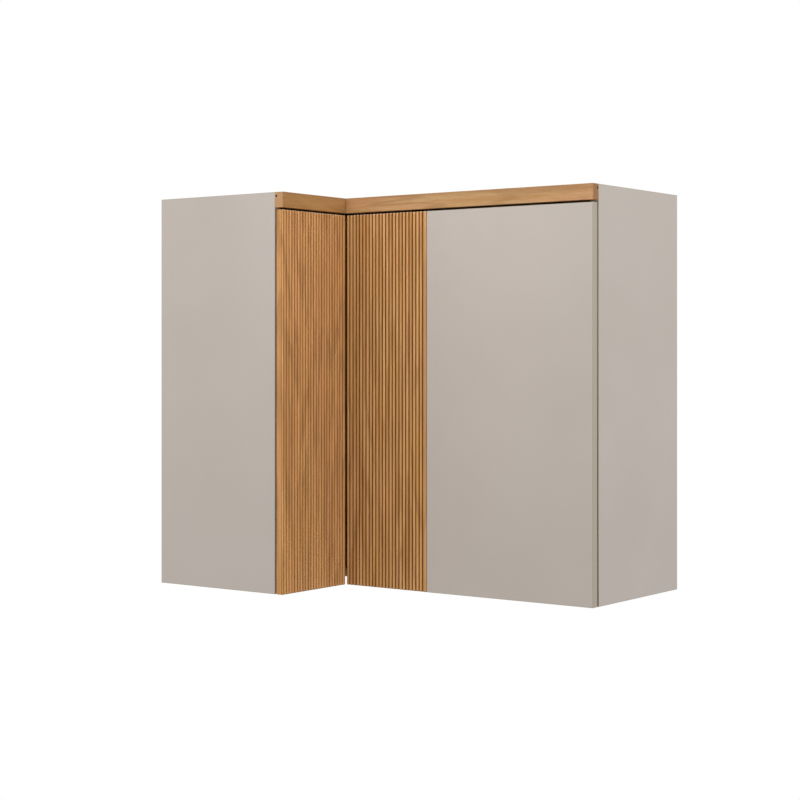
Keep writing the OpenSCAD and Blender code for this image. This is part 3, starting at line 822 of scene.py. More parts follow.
@dataclass
class Board(Part):
    """A board with eased edges, and a glued band on the edges that show."""

    face_finish: Finish
    band_finish: Finish | None = None
    bands: tuple[Face, ...] = ()
    ease: float = 0.6 * MM
    band_t: float = 1.0 * MM
    shortest: float = 12 * MM
    segments: int = 3
    sharp_from: ClassVar[float] = 40.0

    def _make(self, cabinet: Cabinet) -> bpy.types.Object:
        """Makes the board with its bands and eased edges.

        Args:
            cabinet: The cabinet.

        Returns:
            The board.
        """
        shape = cabinet.merged(self.node)
        low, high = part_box(self.node)
        for face in self.bands:
            self._cut_band(shape, face, low, high)
        self._ease_edges(shape)
        finishes = [self.face_finish] + ([self.band_finish] if self.band_finish else [])
        return as_piece(shape, f"{self.node}_board", finishes)

    def _cut_band(self, shape: bmesh.types.BMesh, face: Face, low: Vector, high: Vector) -> None:
        """Cuts the band's glue line into the board and gives the band its own finish.

        Args:
            shape: The board's shape.
            face: The edge that gets a band.
            low: The board's lowest corner.
            high: The board's highest corner.
        """
        place = high[face.axis] - self.band_t if face.high else low[face.axis] + self.band_t
        point, normal = Vector((0, 0, 0)), Vector((0, 0, 0))
        point[face.axis], normal[face.axis] = place, 1
        geometry = shape.verts[:] + shape.edges[:] + shape.faces[:]
        bmesh.ops.bisect_plane(shape, geom=geometry, plane_co=point, plane_no=normal, dist=TINY)
        for polygon in shape.faces:
            middle = polygon.calc_center_median()[face.axis]
            if (middle > place) if face.high else (middle < place):
                polygon.material_index = 1

    def _ease_edges(self, shape: bmesh.types.BMesh) -> None:
        """Rounds the long outer edges.

        Args:
            shape: The board's shape.
        """
        shape.normal_update()
        edges = [
            e for e in shape.edges
            if e.is_manifold and e.calc_face_angle_signed(0) > SQUARE and self._is_long(e)
        ]
        bmesh.ops.bevel(
            shape, geom=edges, offset=self.ease, segments=self.segments, profile=0.5, affect="EDGES",
            clamp_overlap=False, material=-1,
        )

    def _is_long(self, edge: bmesh.types.BMEdge) -> bool:
        """Tells whether an edge, or the straight run it is in, is part of the outline."""
        return edge.calc_length() > self.shortest or self._runs_on(edge)

    def _runs_on(self, edge: bmesh.types.BMEdge) -> bool:
        """Tells whether a short edge carries on straight into a long one.

        Args:
            edge: The short edge.

        Returns:
            Whether it does.
        """
        along = (edge.verts[1].co - edge.verts[0].co).normalized()
        for vertex in edge.verts:
            for other in vertex.link_edges:
                if other is edge or other.calc_length() <= self.shortest or not other.is_manifold:
                    continue
                way = (other.verts[1].co - other.verts[0].co).normalized()
                if abs(along.dot(way)) > STRAIGHT and other.calc_face_angle(0) > SQUARE:
                    return True
        return False


@dataclass
class Rail(Board):
    """A front rail, with a small blind bore in its end whose wall and floor are painted dark as the shade in it."""

    bore_axis: int = 0
    bore_r: float = 2.0 * MM
    bore_from_back: float = 3.0 * MM
    bore_drop: float = 7.0 * MM

    def _cut_band(self, shape: bmesh.types.BMesh, face: Face, low: Vector, high: Vector) -> None:
        """Gives the wall and floor of the bore in the rail's end their own finish, which is painted shade.

        Args:
            shape: The board's shape.
            face: The rail's end with the bore.
            low: The board's lowest corner.
            high: The board's highest corner.
        """
        across = 1 - self.bore_axis
        middle = low[across] + self.bore_from_back if across == 0 else high[across] - self.bore_from_back
        end = high[self.bore_axis] if face.high else low[self.bore_axis]
        for polygon in shape.faces:
            spot = polygon.calc_center_median()
            off = math.hypot(spot[across] - middle, spot.z - (high.z - self.bore_drop))
            if off < 1.05 * self.bore_r and abs(spot[self.bore_axis] - end) > 0.01 * MM:
                polygon.material_index = 1


@dataclass
class CornerBoard(Board):
    """An L-shaped board whose two front edges, along the inner corner, have a glued band."""

    setback: float = 0.0

    def _cut_band(self, shape: bmesh.types.BMesh, face: Face, low: Vector, high: Vector) -> None:
        """Cuts the two glue lines along the inner corner and gives the bands their own finish.

        Args:
            shape: The board's shape.
            face: The edge; not used.
            low: The board's lowest corner; not used.
            high: The board's highest corner; not used.
        """
        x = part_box("left_end_panel")[1][0] - self.setback - self.band_t
        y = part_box("right_end_panel")[0][1] + self.setback + self.band_t
        for point, normal in (((x, 0, 0), (1, 0, 0)), ((0, y, 0), (0, 1, 0))):
            geometry = shape.verts[:] + shape.edges[:] + shape.faces[:]
            bmesh.ops.bisect_plane(shape, geom=geometry, plane_co=point, plane_no=normal, dist=TINY)
        for polygon in shape.faces:
            middle = polygon.calc_center_median()
            if middle.x > x and middle.y < y:
                polygon.material_index = 1


def break_edges(piece: bpy.types.Object, width: float, angle: float) -> bpy.types.Modifier:
    """Breaks a piece's sharp edges.

    Args:
        piece: The piece.
        width: The width of the broken edge.
        angle: The angle in degrees past which an edge is sharp.

    Returns:
        The modifier, still live.
    """
    bevel = piece.modifiers.new("broken edges", "BEVEL")
    bevel.width = width
    bevel.segments = 2
    bevel.limit_method = "ANGLE"
    bevel.angle_limit = math.radians(angle)
    return bevel


@dataclass
class Pressing(Part):
    """Pressed and rolled steel: the node's shape with its sharp edges broken."""

    finish: Finish
    ease: float = 0.25 * MM

    def _make(self, cabinet: Cabinet) -> bpy.types.Object:
        """Makes the pressings of the node.

        Args:
            cabinet: The cabinet.

        Returns:
            The pressings.
        """
        piece = as_piece(cabinet.merged(self.node), f"{self.node}_steel", [self.finish])
        break_edges(piece, self.ease, 50).miter_outer = "MITER_ARC"
        settle(piece)
        return piece


@dataclass(frozen=True)
class Thread:
    """A rolled thread on a screw, from one height on its axis to another.

    The ridge's foot reaches `foot` of a pitch to each side and lies at `sunk` of the root's radius, and
    the ridge runs out to `run_out` of it.
    """

    start: float
    end: float
    root: float
    crest: float
    pitch: float = 1.6 * MM
    steps: int = 12
    foot: float = 0.35
    sunk: float = 0.97
    run_out: float = 1.02


# How far a cutter stands out of the face that it cuts
OVER = 0.5 * MM


@dataclass(frozen=True)
class Recess:
    """A cross recess: how far it reaches, how wide its arms are, how deep it goes and how it narrows."""

    reach: float
    width: float
    depth: float
    taper: float = 0.45


def add_cross(shape: bmesh.types.BMesh, recess: Recess, face: Vector, up: int) -> None:
    """Adds the two tapered bars that cut a cross recess.

    Args:
        shape: The cutters' shape.
        recess: The recess.
        face: The middle of the face that it is cut in.
        up: 1 where the face looks up, -1 where it looks down.
    """
    for along in (0, 1):
        for vertex in bmesh.ops.create_cube(shape, size=1.0)["verts"]:
            outer = vertex.co.z * up > 0
            size = [recess.width, recess.width]
            size[along] = 2 * recess.reach * (1.0 if outer else recess.taper)
            height = up * (OVER if outer else -recess.depth)
            vertex.co = face + Vector((vertex.co.x * size[0], vertex.co.y * size[1], height))


def cut(piece: bpy.types.Object, cutters: bmesh.types.BMesh, finish: Finish) -> None:
    """Cuts shapes out of a piece, after the modifiers that it has.

    Args:
        piece: The piece.
        cutters: What is cut out, which is freed.
        finish: The piece's finish.
    """
    cutter = as_piece(cutters, "recess", [finish])
    boolean = piece.modifiers.new("recess", "BOOLEAN")
    boolean.object = cutter
    boolean.operation = "DIFFERENCE"
    boolean.solver = "EXACT"
    boolean.use_self = True
    settle(piece)
    bpy.data.objects.remove(cutter)


@dataclass
class TurnedParts(Part):
    """Identical turned parts of one node: screws, bolts, dowels, pins or bumpers.

    The outline gives radii and heights from the inner end up to the face at height 0. The parts
    point along `out`, or along their own length where it is None.
    """

    finish: Finish
    outline: tuple[tuple[float, float], ...]
    out: Way | None = None
    thread: Thread | None = None
    recess: Recess | None = None
    flutes: int = 0
    flute_share: float = 0.93
    segments: int = 24
    seed: int = 7

    def _make(self, cabinet: Cabinet) -> bpy.types.Object:
        """Makes one part and sets it at the place of each of the node's solids.

        Args:
            cabinet: The cabinet.

        Returns:
            The parts, as one piece.
        """
        part = self._part()
        whole = bmesh.new()
        for out, places in self._places(cabinet).items():
            points = bpy.data.meshes.new("places")
            points.from_pydata(places, [], [])
            group = bpy.data.objects.new("places", points)
            bpy.context.scene.collection.objects.link(group)
            values = {
                "Shape": part, "Turn": Vector(Vector(out).to_track_quat("Z", "Y").to_euler()),
                "Spin": 0.0 if self.flutes else FULL_TURN, "Seed": self.seed, "Finish": material(self.finish),
            }
            run_tree(group, scatter_tree(), values)
            whole.from_mesh(group.data)
            bpy.data.objects.remove(group)
        bpy.data.objects.remove(part)
        return as_piece(whole, f"{self.node}_turned", [self.finish])

    def _places(self, cabinet: Cabinet) -> dict[Way, list[Vector]]:
        """Finds where the node's solids have their faces.

        Args:
            cabinet: The cabinet.

        Returns:
            The places, by the way the parts point.
        """
        found: dict[tuple[int, int, int], list[Vector]] = {}
        for low, high in cabinet.solids(self.node):
            size = high - low
            longest = max(range(3), key=lambda i: size[i])
            out = self.out or tuple(int(i == longest) for i in range(3))
            middle = (low + high) / 2
            face = Vector(high[i] if out[i] > 0 else low[i] if out[i] < 0 else middle[i] for i in range(3))
            found.setdefault(out, []).append(face)
        return found

    def _part(self) -> bpy.types.Object:
        """Turns the outline, winds the thread and cuts the recess.

        Returns:
            One part, along its own axis.
        """
        shape = bmesh.new()
        rings = [self._ring(shape, radius, height) for radius, height in self.outline]
        for lower, upper in zip(rings, rings[1:]):
            for i in range(self.segments):
                j = (i + 1) % self.segments
                corners = (lower[i % len(lower)], lower[j % len(lower)], upper[j % len(upper)], upper[i % len(upper)])
                shape.faces.new(tuple(dict.fromkeys(corners)))
        if self.thread:
            self._wind(shape, self.thread)
        bmesh.ops.recalc_face_normals(shape, faces=shape.faces)
        part = as_piece(shape, f"{self.node}_part", [self.finish])
        if self.recess:
            cutters = bmesh.new()
            add_cross(cutters, self.recess, Vector((0, 0, 0)), 1)
            cut(part, cutters, self.finish)
        return part

    def _ring(self, shape: bmesh.types.BMesh, radius: float, height: float) -> list[bmesh.types.BMVert]:
        """Adds a ring of the outline, or its one point on the axis.

        Args:
            shape: The part's shape.
            radius: The ring's radius.
            height: Its height.

        Returns:
            The ring's points.
        """
        if radius == 0:
            return [shape.verts.new((0, 0, height))]
        ring = []
        for i in range(self.segments):
            angle = FULL_TURN * i / self.segments
            reach = radius * (self.flute_share if self.flutes and i % (self.segments // self.flutes) == 0 else 1)
            ring.append(shape.verts.new((reach * math.cos(angle), reach * math.sin(angle), height)))
        return ring

    def _wind(self, shape: bmesh.types.BMesh, thread: Thread) -> None:
        """Winds the thread's ridge round the shank.

        Args:
            shape: The part's shape.
            thread: The thread.
        """
        count = round((thread.end - thread.start) / thread.pitch * thread.steps)
        foot, sunk = thread.foot * thread.pitch, thread.root * thread.sunk
        before: list[bmesh.types.BMVert] = []
        for i in range(count + 1):
            angle = FULL_TURN * i / thread.steps
            height = thread.start + thread.pitch * i / thread.steps
            crest = thread.crest if 0 < i < count else thread.root * thread.run_out
            now = [
                shape.verts.new((r * math.cos(angle), r * math.sin(angle), height + h))
                for r, h in ((sunk, -foot), (crest, 0.0), (sunk, foot))
            ]
            for a, b in ((0, 1), (1, 2), (2, 0)):
                if before:
                    shape.faces.new((before[a], before[b], now[b], now[a]))
            if not before or i == count:
                shape.faces.new(now if before else now[::-1])
            before = now


def countersunk(shank: float, length: float, head: float = 7 * MM, sink: float = 2.4 * MM) -> dict[str, Any]:
    """Gives the outline, thread and recess of a countersunk chipboard screw.

    Args:
        shank: The thread's outer diameter.
        length: The screw's length.
        head: The head's diameter.
        sink: The head's height.

    Returns:
        Fields for TurnedParts.
    """
    crest, root = 0.49 * shank, 0.36 * shank
    outline = (
        (0, -length), (root, -length + 2.5 * root), (root, -sink - 0.5 * MM), (0.48 * shank, -sink),
        (0.5 * head, -0.25 * MM), (0.5 * head, -0.1 * MM), (0.48 * head, 0), (0, 0),
    )
    thread = Thread(-length + 2.5 * root, -sink - 0.8 * MM, root, crest)
    return {"outline": outline, "thread": thread, "recess": Recess(0.29 * head, 0.9 * MM, 1.7 * MM)}


def machine_screw(shank: float, length: float, head: float, rise: float) -> dict[str, Any]:
    """Gives the outline, thread and recess of a pan-head machine screw.

    Args:
        shank: The thread's outer diameter.
        length: The length under the head.
        head: The head's diameter.
        rise: The head's height.

    Returns:
        Fields for TurnedParts.
    """
    root = 0.43 * shank
    outline = (
        (0, -rise - length), (0.8 * root, -rise - length), (root, -rise - length + 0.5 * MM), (root, -rise),
        (0.5 * head, -rise), (0.5 * head, -0.5 * rise), (0.46 * head, -0.22 * rise), (0.36 * head, -0.05 * rise),
        (0.2 * head, 0), (0, 0),
    )
    thread = Thread(-rise - length + 0.5 * MM, -rise - 0.3 * MM, root, 0.49 * shank, 0.8 * MM)
    return {"outline": outline, "thread": thread, "recess": Recess(0.27 * head, 1.0 * MM, 1.3 * MM)}


def rod(diameter: float, length: float, chamfer: float) -> tuple[tuple[float, float], ...]:
    """Gives the outline of a rod with chamfered ends.

    Args:
        diameter: The rod's diameter.
        length: Its length.
        chamfer: Its chamfer.

    Returns:
        Radii and heights.
    """
    r = diameter / 2
    return (
        (0, -length), (r - chamfer, -length), (r, -length + chamfer), (r, -chamfer), (r - chamfer, 0), (0, 0),
    )


def dome(diameter: float, height: float, steps: int = 5) -> tuple[tuple[float, float], ...]:
    """Gives the outline of a self-adhesive dome.

    Args:
        diameter: The dome's diameter.
        height: Its height.
        steps: The steps of its curve.

    Returns:
        Radii and heights.
    """
    r, rim = diameter / 2, 0.25 * height
    curve = [
        (r * math.cos(math.pi / 2 * i / steps), -height + rim + (height - rim) * math.sin(math.pi / 2 * i / steps))
        for i in range(steps)
    ]
    return ((0, -height), (0.97 * r, -height), *curve, (0, 0))


@dataclass
class CamDiscs(Part):
    """Die-cast cam discs: broken edges, and a cross recess and a pointer in each face."""

    finish: Finish
    bolt_way: Way
    ease: float = 0.35 * MM
    recess: Recess = Recess(4.2 * MM, 2.0 * MM, 3.0 * MM, 0.6)
    face_split: float = 0.35
    pointer_reach: float = 6.6 * MM
    pointer_foot: float = 5.0 * MM
    pointer_half: float = 1.1 * MM
    pointer_depth: float = 0.4 * MM

    def _make(self, cabinet: Cabinet) -> bpy.types.Object:
        """Makes the discs of the node.

        Args:
            cabinet: The cabinet.

        Returns:
            The discs.
        """
        piece = as_piece(cabinet.merged(self.node), f"{self.node}_cast", [self.finish])
        break_edges(piece, self.ease, 60)
        cutters = bmesh.new()
        for low, high in cabinet.solids(self.node):
            up = 1 if high.z > self.face_split else -1
            middle = (low + high) / 2
            face = Vector((middle.x, middle.y, high.z if up > 0 else low.z))
            add_cross(cutters, self.recess, face, up)
            self._add_pointer(cutters, face, up)
        cut(piece, cutters, self.finish)
        return piece

    def _add_pointer(self, shape: bmesh.types.BMesh, face: Vector, up: int) -> None:
        """Adds the cutter of the pointer in one disc.

        Args:
            shape: The cutters' shape.
            face: The middle of the disc's face.
            up: 1 where the face looks up, -1 where it looks down.
        """
        way = Vector(self.bolt_way)
        side = Vector((-way.y, way.x, 0)) * self.pointer_half
        foot = way * self.pointer_foot
        corners = (way * self.pointer_reach, foot + side, foot - side)
        rings = [
            [shape.verts.new(face + corner + Vector((0, 0, up * height))) for corner in corners]
            for height in (-self.pointer_depth, OVER)
        ]
        shape.faces.new(rings[0])
        shape.faces.new(rings[1][::-1])
        for i in range(3):
            j = (i + 1) % 3
            shape.faces.new((rings[0][i], rings[1][i], rings[1][j], rings[0][j]))
        bmesh.ops.recalc_face_normals(shape, faces=shape.faces)


class Wing(Enum):
    """The wing that a door belongs to."""

    LEFT = "left"
    RIGHT = "right"


@dataclass
class RibbedBoard(Part):
    """A door board with milled ribs: a flat back, and ribs with rounded tops and chamfered ends."""

    wing: Wing
    finish: Oak
    rib_r: float = 1.6 * MM
    edge_rib: float = 0.8 * MM
    chamfer: float = 1.1 * MM
    root: float = 0.6 * MM
    arc_steps: int = 5

    def _make(self, cabinet: Cabinet) -> bpy.types.Object:
        """Keeps the node's back and sets new ribs on it.

        Args:
            cabinet: The cabinet.

        Returns:
            The board.
        """
        self.finish = replace(self.finish, ribs=self.finish.ribs.laid_on(self.node, *self._ways()))
        ribs = self.finish.ribs
        board = self._back(cabinet)
        first = ribs.width - ribs.outer_rib - ribs.groove_w
        count = math.floor((first - self.edge_rib) / ribs.pitch)
        for start, end in ((ribs.width - ribs.outer_rib, ribs.width), (0.0, first - count * ribs.pitch)):
            self._add_rib(board, start, end)
        piece = as_piece(board, f"{self.node}_ribs", [self.finish])
        self._repeat_ribs(piece, count, first)
        return piece

    def _ways(self) -> tuple[Way, Way]:
        """Gives the way across the ribs, towards the outer rib, and the way the face looks."""
        return ((0, 1, 0), (1, 0, 0)) if self.wing is Wing.LEFT else ((1, 0, 0), (0, -1, 0))

    def _place(self, across: float, out: float, up: float) -> Vector:
        """Turns a place on the board to the cabinet's frame.

        Args:
            across: The distance from the board's first edge.
            out: The distance out from the grooves' floor.
            up: The height above the board's lower end.

        Returns:
            The place.
        """
        ribs = self.finish.ribs
        sideways = Vector(ribs.across) * (ribs.start - ribs.width + across)
        return Vector((0, 0, ribs.foot + up)) + sideways + Vector(ribs.out) * (ribs.face - ribs.depth + out)

    def _back(self, cabinet: Cabinet) -> bmesh.types.BMesh:
        """Cuts the ribs off the node's shape, a little below the grooves, and keeps its back with its bores.

        Args:
            cabinet: The cabinet.

        Returns:
            The back's shape.
        """
        shape = cabinet.merged(self.node)
        normal = Vector(self.finish.ribs.out)
        plane = self._place(0, 0, 0) - normal * 0.02 * MM
        geometry = shape.verts[:] + shape.edges[:] + shape.faces[:]
        bmesh.ops.bisect_plane(
            shape, geom=geometry, plane_co=plane, plane_no=normal, clear_outer=True, dist=TINY
        )
        bmesh.ops.contextual_create(shape, geom=[e for e in shape.edges if e.is_boundary])
        bmesh.ops.recalc_face_normals(shape, faces=shape.faces)
        return shape

    def _section(self, half: float, inset: float) -> list[tuple[float, float]]:
        """Gives a rib's section, from its left foot over its top to its right foot.

        Args:
            half: Half of the rib's width.
            inset: How much smaller the section is, at its chamfered ends.

        Returns:
            Places across and out.
        """
        radius, depth = min(self.rib_r, half), self.finish.ribs.depth
        points = [(-half + inset, -self.root)]
        for side in (-1, 1):
            for step in range(self.arc_steps + 1):
                turn = math.pi / 2 * step / self.arc_steps
                angle = math.pi - turn if side < 0 else math.pi / 2 - turn
                centre = side * (half - radius)
                reach = radius - min(inset, radius * 0.9)
                points.append((centre + reach * math.cos(angle), depth - radius + reach * math.sin(angle)))
        points.append((half - inset, -self.root))
        return points

    def _rib(self, half: float, place: Callable[[float, float, float], Vector]) -> bmesh.types.BMesh:
        """Makes one rib.

        Args:
            half: Half of the rib's width.
            place: Turns a place across, out and up to a point.

        Returns:
            The rib's shape.
        """
        shape = bmesh.new()
        length = self.finish.ribs.length
        chamfer = min(self.chamfer, half * 0.6)
        levels = ((0.0, chamfer), (chamfer, 0.0), (length - chamfer, 0.0), (length, chamfer))
        rings = [
            [shape.verts.new(place(x, y, up)) for x, y in self._section(half, inset)] for up, inset in levels
        ]
        for lower, upper in zip(rings, rings[1:]):
            for i in range(len(lower)):
                j = (i + 1) % len(lower)
                shape.faces.new((lower[i], lower[j], upper[j], upper[i]))
        shape.faces.new(rings[0][::-1])
        shape.faces.new(rings[-1])
        bmesh.ops.remove_doubles(shape, verts=shape.verts, dist=TINY)
        bmesh.ops.recalc_face_normals(shape, faces=shape.faces)
        return shape

    def _add_rib(self, board: bmesh.types.BMesh, start: float, end: float) -> None:
        """Adds a rib of its own width at an edge of the board.

        Args:
            board: The board's shape.
            start: The rib's start.
            end: Its end.
        """
        middle = (start + end) / 2
        rib = self._rib((end - start) / 2, lambda x, y, z: self._place(middle + x, y, z))
        mesh = bpy.data.meshes.new("edge rib")
        rib.to_mesh(mesh)
        rib.free()
        board.from_mesh(mesh)
        bpy.data.meshes.remove(mesh)

    def _repeat_ribs(self, piece: bpy.types.Object, count: int, first: float) -> None:
        """Sets the equal ribs out along the board with Geometry Nodes.

        Args:
            piece: The board's back.
            count: The number of equal ribs.
            first: Where the first of them ends, from the board's first edge.
        """
        ribs = self.finish.ribs
        half = (ribs.pitch - ribs.groove_w) / 2
        origin = self._place(0, 0, 0)
        rib = self._rib(half, lambda x, y, z: self._place(x, y, z) - origin)
        shape = as_piece(rib, f"{piece.name}_rib", [self.finish])
        values = {
            "Shape": shape, "Count": count, "First": self._place(first - half, 0, 0),
            "Step": self._place(-ribs.pitch, 0, 0) - origin, "Finish": material(self.finish),
        }
        run_tree(piece, row_tree(), values)
        bpy.data.objects.remove(shape)


Sockets = dict[str, str]


def open_tree(name: str, inputs: Iterable[tuple[str, str]]) -> tuple[bpy.types.NodeTree, bpy.types.Node, Sockets]:
    """Opens a Geometry Nodes tree with named inputs.

    Args:
        name: The tree's name.
        inputs: The inputs' names and socket types.

    Returns:
        The tree, its input node, and the inputs' identifiers by name.
    """
    tree = bpy.data.node_groups.new(name, "GeometryNodeTree")
    tree.interface.new_socket("Geometry", in_out="INPUT", socket_type="NodeSocketGeometry")
    tree.interface.new_socket("Geometry", in_out="OUTPUT", socket_type="NodeSocketGeometry")
    names = {}
    for label, kind in inputs:
        names[label] = tree.interface.new_socket(label, in_out="INPUT", socket_type=kind).identifier
    return tree, add(tree, "NodeGroupInput"), names


@lru_cache(maxsize=None)
def row_tree() -> tuple[bpy.types.NodeTree, Sockets]:
    """Makes the tree that joins a straight row of one shape to a piece.

    Returns:
        The tree, and its inputs' identifiers by name.
    """
    kinds = (
        ("Shape", "NodeSocketObject"), ("Count", "NodeSocketInt"), ("First", "NodeSocketVector"),
        ("Step", "NodeSocketVector"), ("Finish", "NodeSocketMaterial"),
    )
    tree, given, names = open_tree("row of ribs", kinds)
    shape = add(tree, "GeometryNodeObjectInfo", links={"Object": given.outputs["Shape"]})
    line = add(
        tree, "GeometryNodeMeshLine", {"mode": "OFFSET"},
        {"Count": given.outputs["Count"], "Start Location": given.outputs["First"], "Offset": given.outputs["Step"]},
    )
    row = add(
        tree, "GeometryNodeInstanceOnPoints", links={"Points": line.outputs[0], "Instance": shape.outputs["Geometry"]}
    )
    joined = add(tree, "GeometryNodeJoinGeometry", links={0: given.outputs["Geometry"]})
    tree.links.new(row.outputs[0], joined.inputs[0])
    real = add(tree, "GeometryNodeRealizeInstances", links={0: joined.outputs[0]})
    painted = add(
        tree, "GeometryNodeSetMaterial", links={"Geometry": real.outputs[0], "Material": given.outputs["Finish"]}
    )
    add(tree, "NodeGroupOutput", links={0: painted.outputs[0]})
    return tree, names


@lru_cache(maxsize=None)
def scatter_tree() -> tuple[bpy.types.NodeTree, Sockets]:
    """Makes the tree that sets one fastener at each point, turned at random about its own axis.

    Returns:
        The tree, and its inputs' identifiers by name.
    """
    kinds = (
        ("Shape", "NodeSocketObject"), ("Turn", "NodeSocketVector"), ("Spin", "NodeSocketFloat"),
        ("Seed", "NodeSocketInt"), ("Finish", "NodeSocketMaterial"),
    )
    tree, given, names = open_tree("fasteners at points", kinds)
    shape = add(tree, "GeometryNodeObjectInfo", links={"Object": given.outputs["Shape"]})
    turned = add(tree, "FunctionNodeEulerToRotation", links={0: given.outputs["Turn"]})
    placed = add(
        tree, "GeometryNodeInstanceOnPoints",
        links={
            "Points": given.outputs["Geometry"], "Instance": shape.outputs["Geometry"],
            "Rotation": turned.outputs[0],
        },
    )
    chance = add(
        tree, "FunctionNodeRandomValue", {"data_type": "FLOAT", 2: 0.0},
        {3: given.outputs["Spin"], "Seed": given.outputs["Seed"]},
    )
    about = add(tree, "ShaderNodeCombineXYZ", links={"Z": chance.outputs[1]})
    spin = add(tree, "FunctionNodeEulerToRotation", links={0: about.outputs[0]})
    spun = add(
        tree, "GeometryNodeRotateInstances", {"Local Space": True},
        {"Instances": placed.outputs[0], "Rotation": spin.outputs[0]},
    )
    real = add(tree, "GeometryNodeRealizeInstances", links={0: spun.outputs[0]})
    painted = add(
        tree, "GeometryNodeSetMaterial", links={"Geometry": real.outputs[0], "Material": given.outputs["Finish"]}
    )
    add(tree, "NodeGroupOutput", links={0: painted.outputs[0]})
    return tree, names


@dataclass(frozen=True)
class Lamp:
    """A soft square lamp, with its side in metres, its power in watts and its spread in degrees."""

    name: str
    place: tuple[float, float, float]
    size: float
    power: float
    target: tuple[float, float, float] = (0, 0, 0.35)
    spread: float = 180.0

    def light(self) -> None:
        """Hangs the lamp at its place and points it at its target."""
        data = bpy.data.lights.new(self.name, "AREA")
        data.shape = "SQUARE"
        data.size = self.size
        data.energy = self.power
        data.spread = math.radians(self.spread)
        lamp = bpy.data.objects.new(self.name, data)
        lamp.location = self.place
        aim = Vector(self.target) - Vector(self.place)
        lamp.rotation_euler = aim.to_track_quat("-Z", "Y").to_euler()
        bpy.context.scene.collection.objects.link(lamp)


@dataclass
class Studio:
    """The photograph's camera, soft lamps, a pale floor and a white surround."""

    camera_place: tuple[float, float, float] = (1.92515, -2.61245, 0.4227)
    camera_yaw: float = 35.754
    lens: float = 81.016
    sensor: float = 36.0
    clip: tuple[float, float] = (0.05, 50.0)
    shift: tuple[float, float] = (-0.04429, -0.0608)
    floor_z: float = -1.4
    floor_r: float = 3.0
    surround: float = 0.7
    lamps: tuple[Lamp, ...] = (
        Lamp("front softbox", (-0.5, -1.9, 1.6), 1.4, 14.5),
        Lamp("side softbox", (2.1, -0.05, 1.5), 1.4, 12.5),
        Lamp("upper softbox", (0.55, -1.7, 1.2), 0.6, 0.2, (0.2, -0.05, 0.75), 30.0),
    )

    def set_camera(self) -> None:
        """Makes the camera and sets it as the scene's."""
        data = bpy.data.cameras.new("photo camera")
        data.lens = self.lens
        data.sensor_width = self.sensor
        data.shift_x, data.shift_y = self.shift
        data.clip_start, data.clip_end = self.clip
        camera = bpy.data.objects.new("photo camera", data)
        camera.location = self.camera_place
        camera.rotation_euler = (math.pi / 2, 0, math.radians(self.camera_yaw))
        bpy.context.scene.collection.objects.link(camera)
        bpy.context.scene.camera = camera

    def build(self) -> None:
        """Sets the view, the surround, the lamps and the floor."""
        bpy.context.scene.view_settings.view_transform = "Standard"
        self._set_surround()
        for lamp in self.lamps:
            lamp.light()
        self._add_floor()

    def _set_surround(self) -> None:
        """Lights the room evenly, and shows white where nothing else is seen."""
        world = bpy.data.worlds.new("white surround")
        bpy.context.scene.world = world
        world.use_nodes = True
        tree = world.node_tree
        tree.nodes.clear()
        path = add(tree, "ShaderNodeLightPath")
        seen = path.outputs["Is Camera Ray"]
        for other in ("Is Glossy Ray", "Is Transmission Ray"):
            seen = add(tree, "ShaderNodeMath", {"operation": "MAXIMUM"}, {0: seen, 1: path.outputs[other]}).outputs[0]
        strength = add(tree, "ShaderNodeMapRange", span(0, 1, self.surround), {"Value": seen}).outputs[0]
        light = add(tree, "ShaderNodeBackground", {"Color": (1, 1, 1, 1)}, {"Strength": strength})
        add(tree, "ShaderNodeOutputWorld", links={0: light.outputs[0]})

    def _add_floor(self) -> None:
        """Lays a pale round floor below the hanging height."""
        shape = bmesh.new()
        bmesh.ops.create_circle(shape, cap_ends=True, segments=96, radius=self.floor_r)
        bmesh.ops.translate(shape, verts=shape.verts, vec=(0, 0, self.floor_z))
        floor = as_piece(shape, "studio_floor", [StudioFloor("matt white studio floor")])


BOARDS = (
    Board("left_end_panel", BEIGE, BEIGE_BAND, (Face(0, True), Face(2, False), Face(2, True))),
    Board("right_end_panel", BEIGE, BEIGE_BAND, (Face(1, False), Face(2, False), Face(2, True))),
    Board(
        "right_door_smooth_board", BEIGE, BEIGE_BAND,
        (Face(0, False), Face(0, True), Face(2, False), Face(2, True)), ease=0.5 * MM,
    ),
    CornerBoard("top_panel", WHITE, BEIGE_BAND, (Face(0, True),)),
    CornerBoard("bottom_panel", WHITE, BEIGE_BAND, (Face(0, True),)),
    CornerBoard("shelf", WHITE, BEIGE_BAND, (Face(0, True),), setback=20 * MM),
    Board("left_hanging_rail", WHITE),
    Board("right_hanging_rail", WHITE),
    Board("left_back_panel", BACK, ease=0.3 * MM, shortest=5 * MM),
    Board("right_back_panel", BACK, ease=0.3 * MM, shortest=5 * MM),
    Board("corner_post", BEECH_POST),
    # For the rails, the second finish is the painted shade inside the bore
    Rail("left_front_rail", RAIL_OAK_LEFT, BORE_SHADE, (Face(1, False),), ease=0.5 * MM, bore_axis=1),
    Rail("right_front_rail", RAIL_OAK_RIGHT, BORE_SHADE, (Face(0, True),), ease=0.5 * MM, bore_axis=0),
)

PRESSINGS = (
    *(Pressing(f"{wing.value}_hinge_{part}", NICKEL) for wing in Wing for part in ("cups", "arms", "plates")),
    Pressing("door_cleats", ZINC, 0.3 * MM),
)

LEFTWARD, RIGHTWARD, REARWARD, UPWARD = (-1, 0, 0), (1, 0, 0), (0, 1, 0), (0, 0, 1)

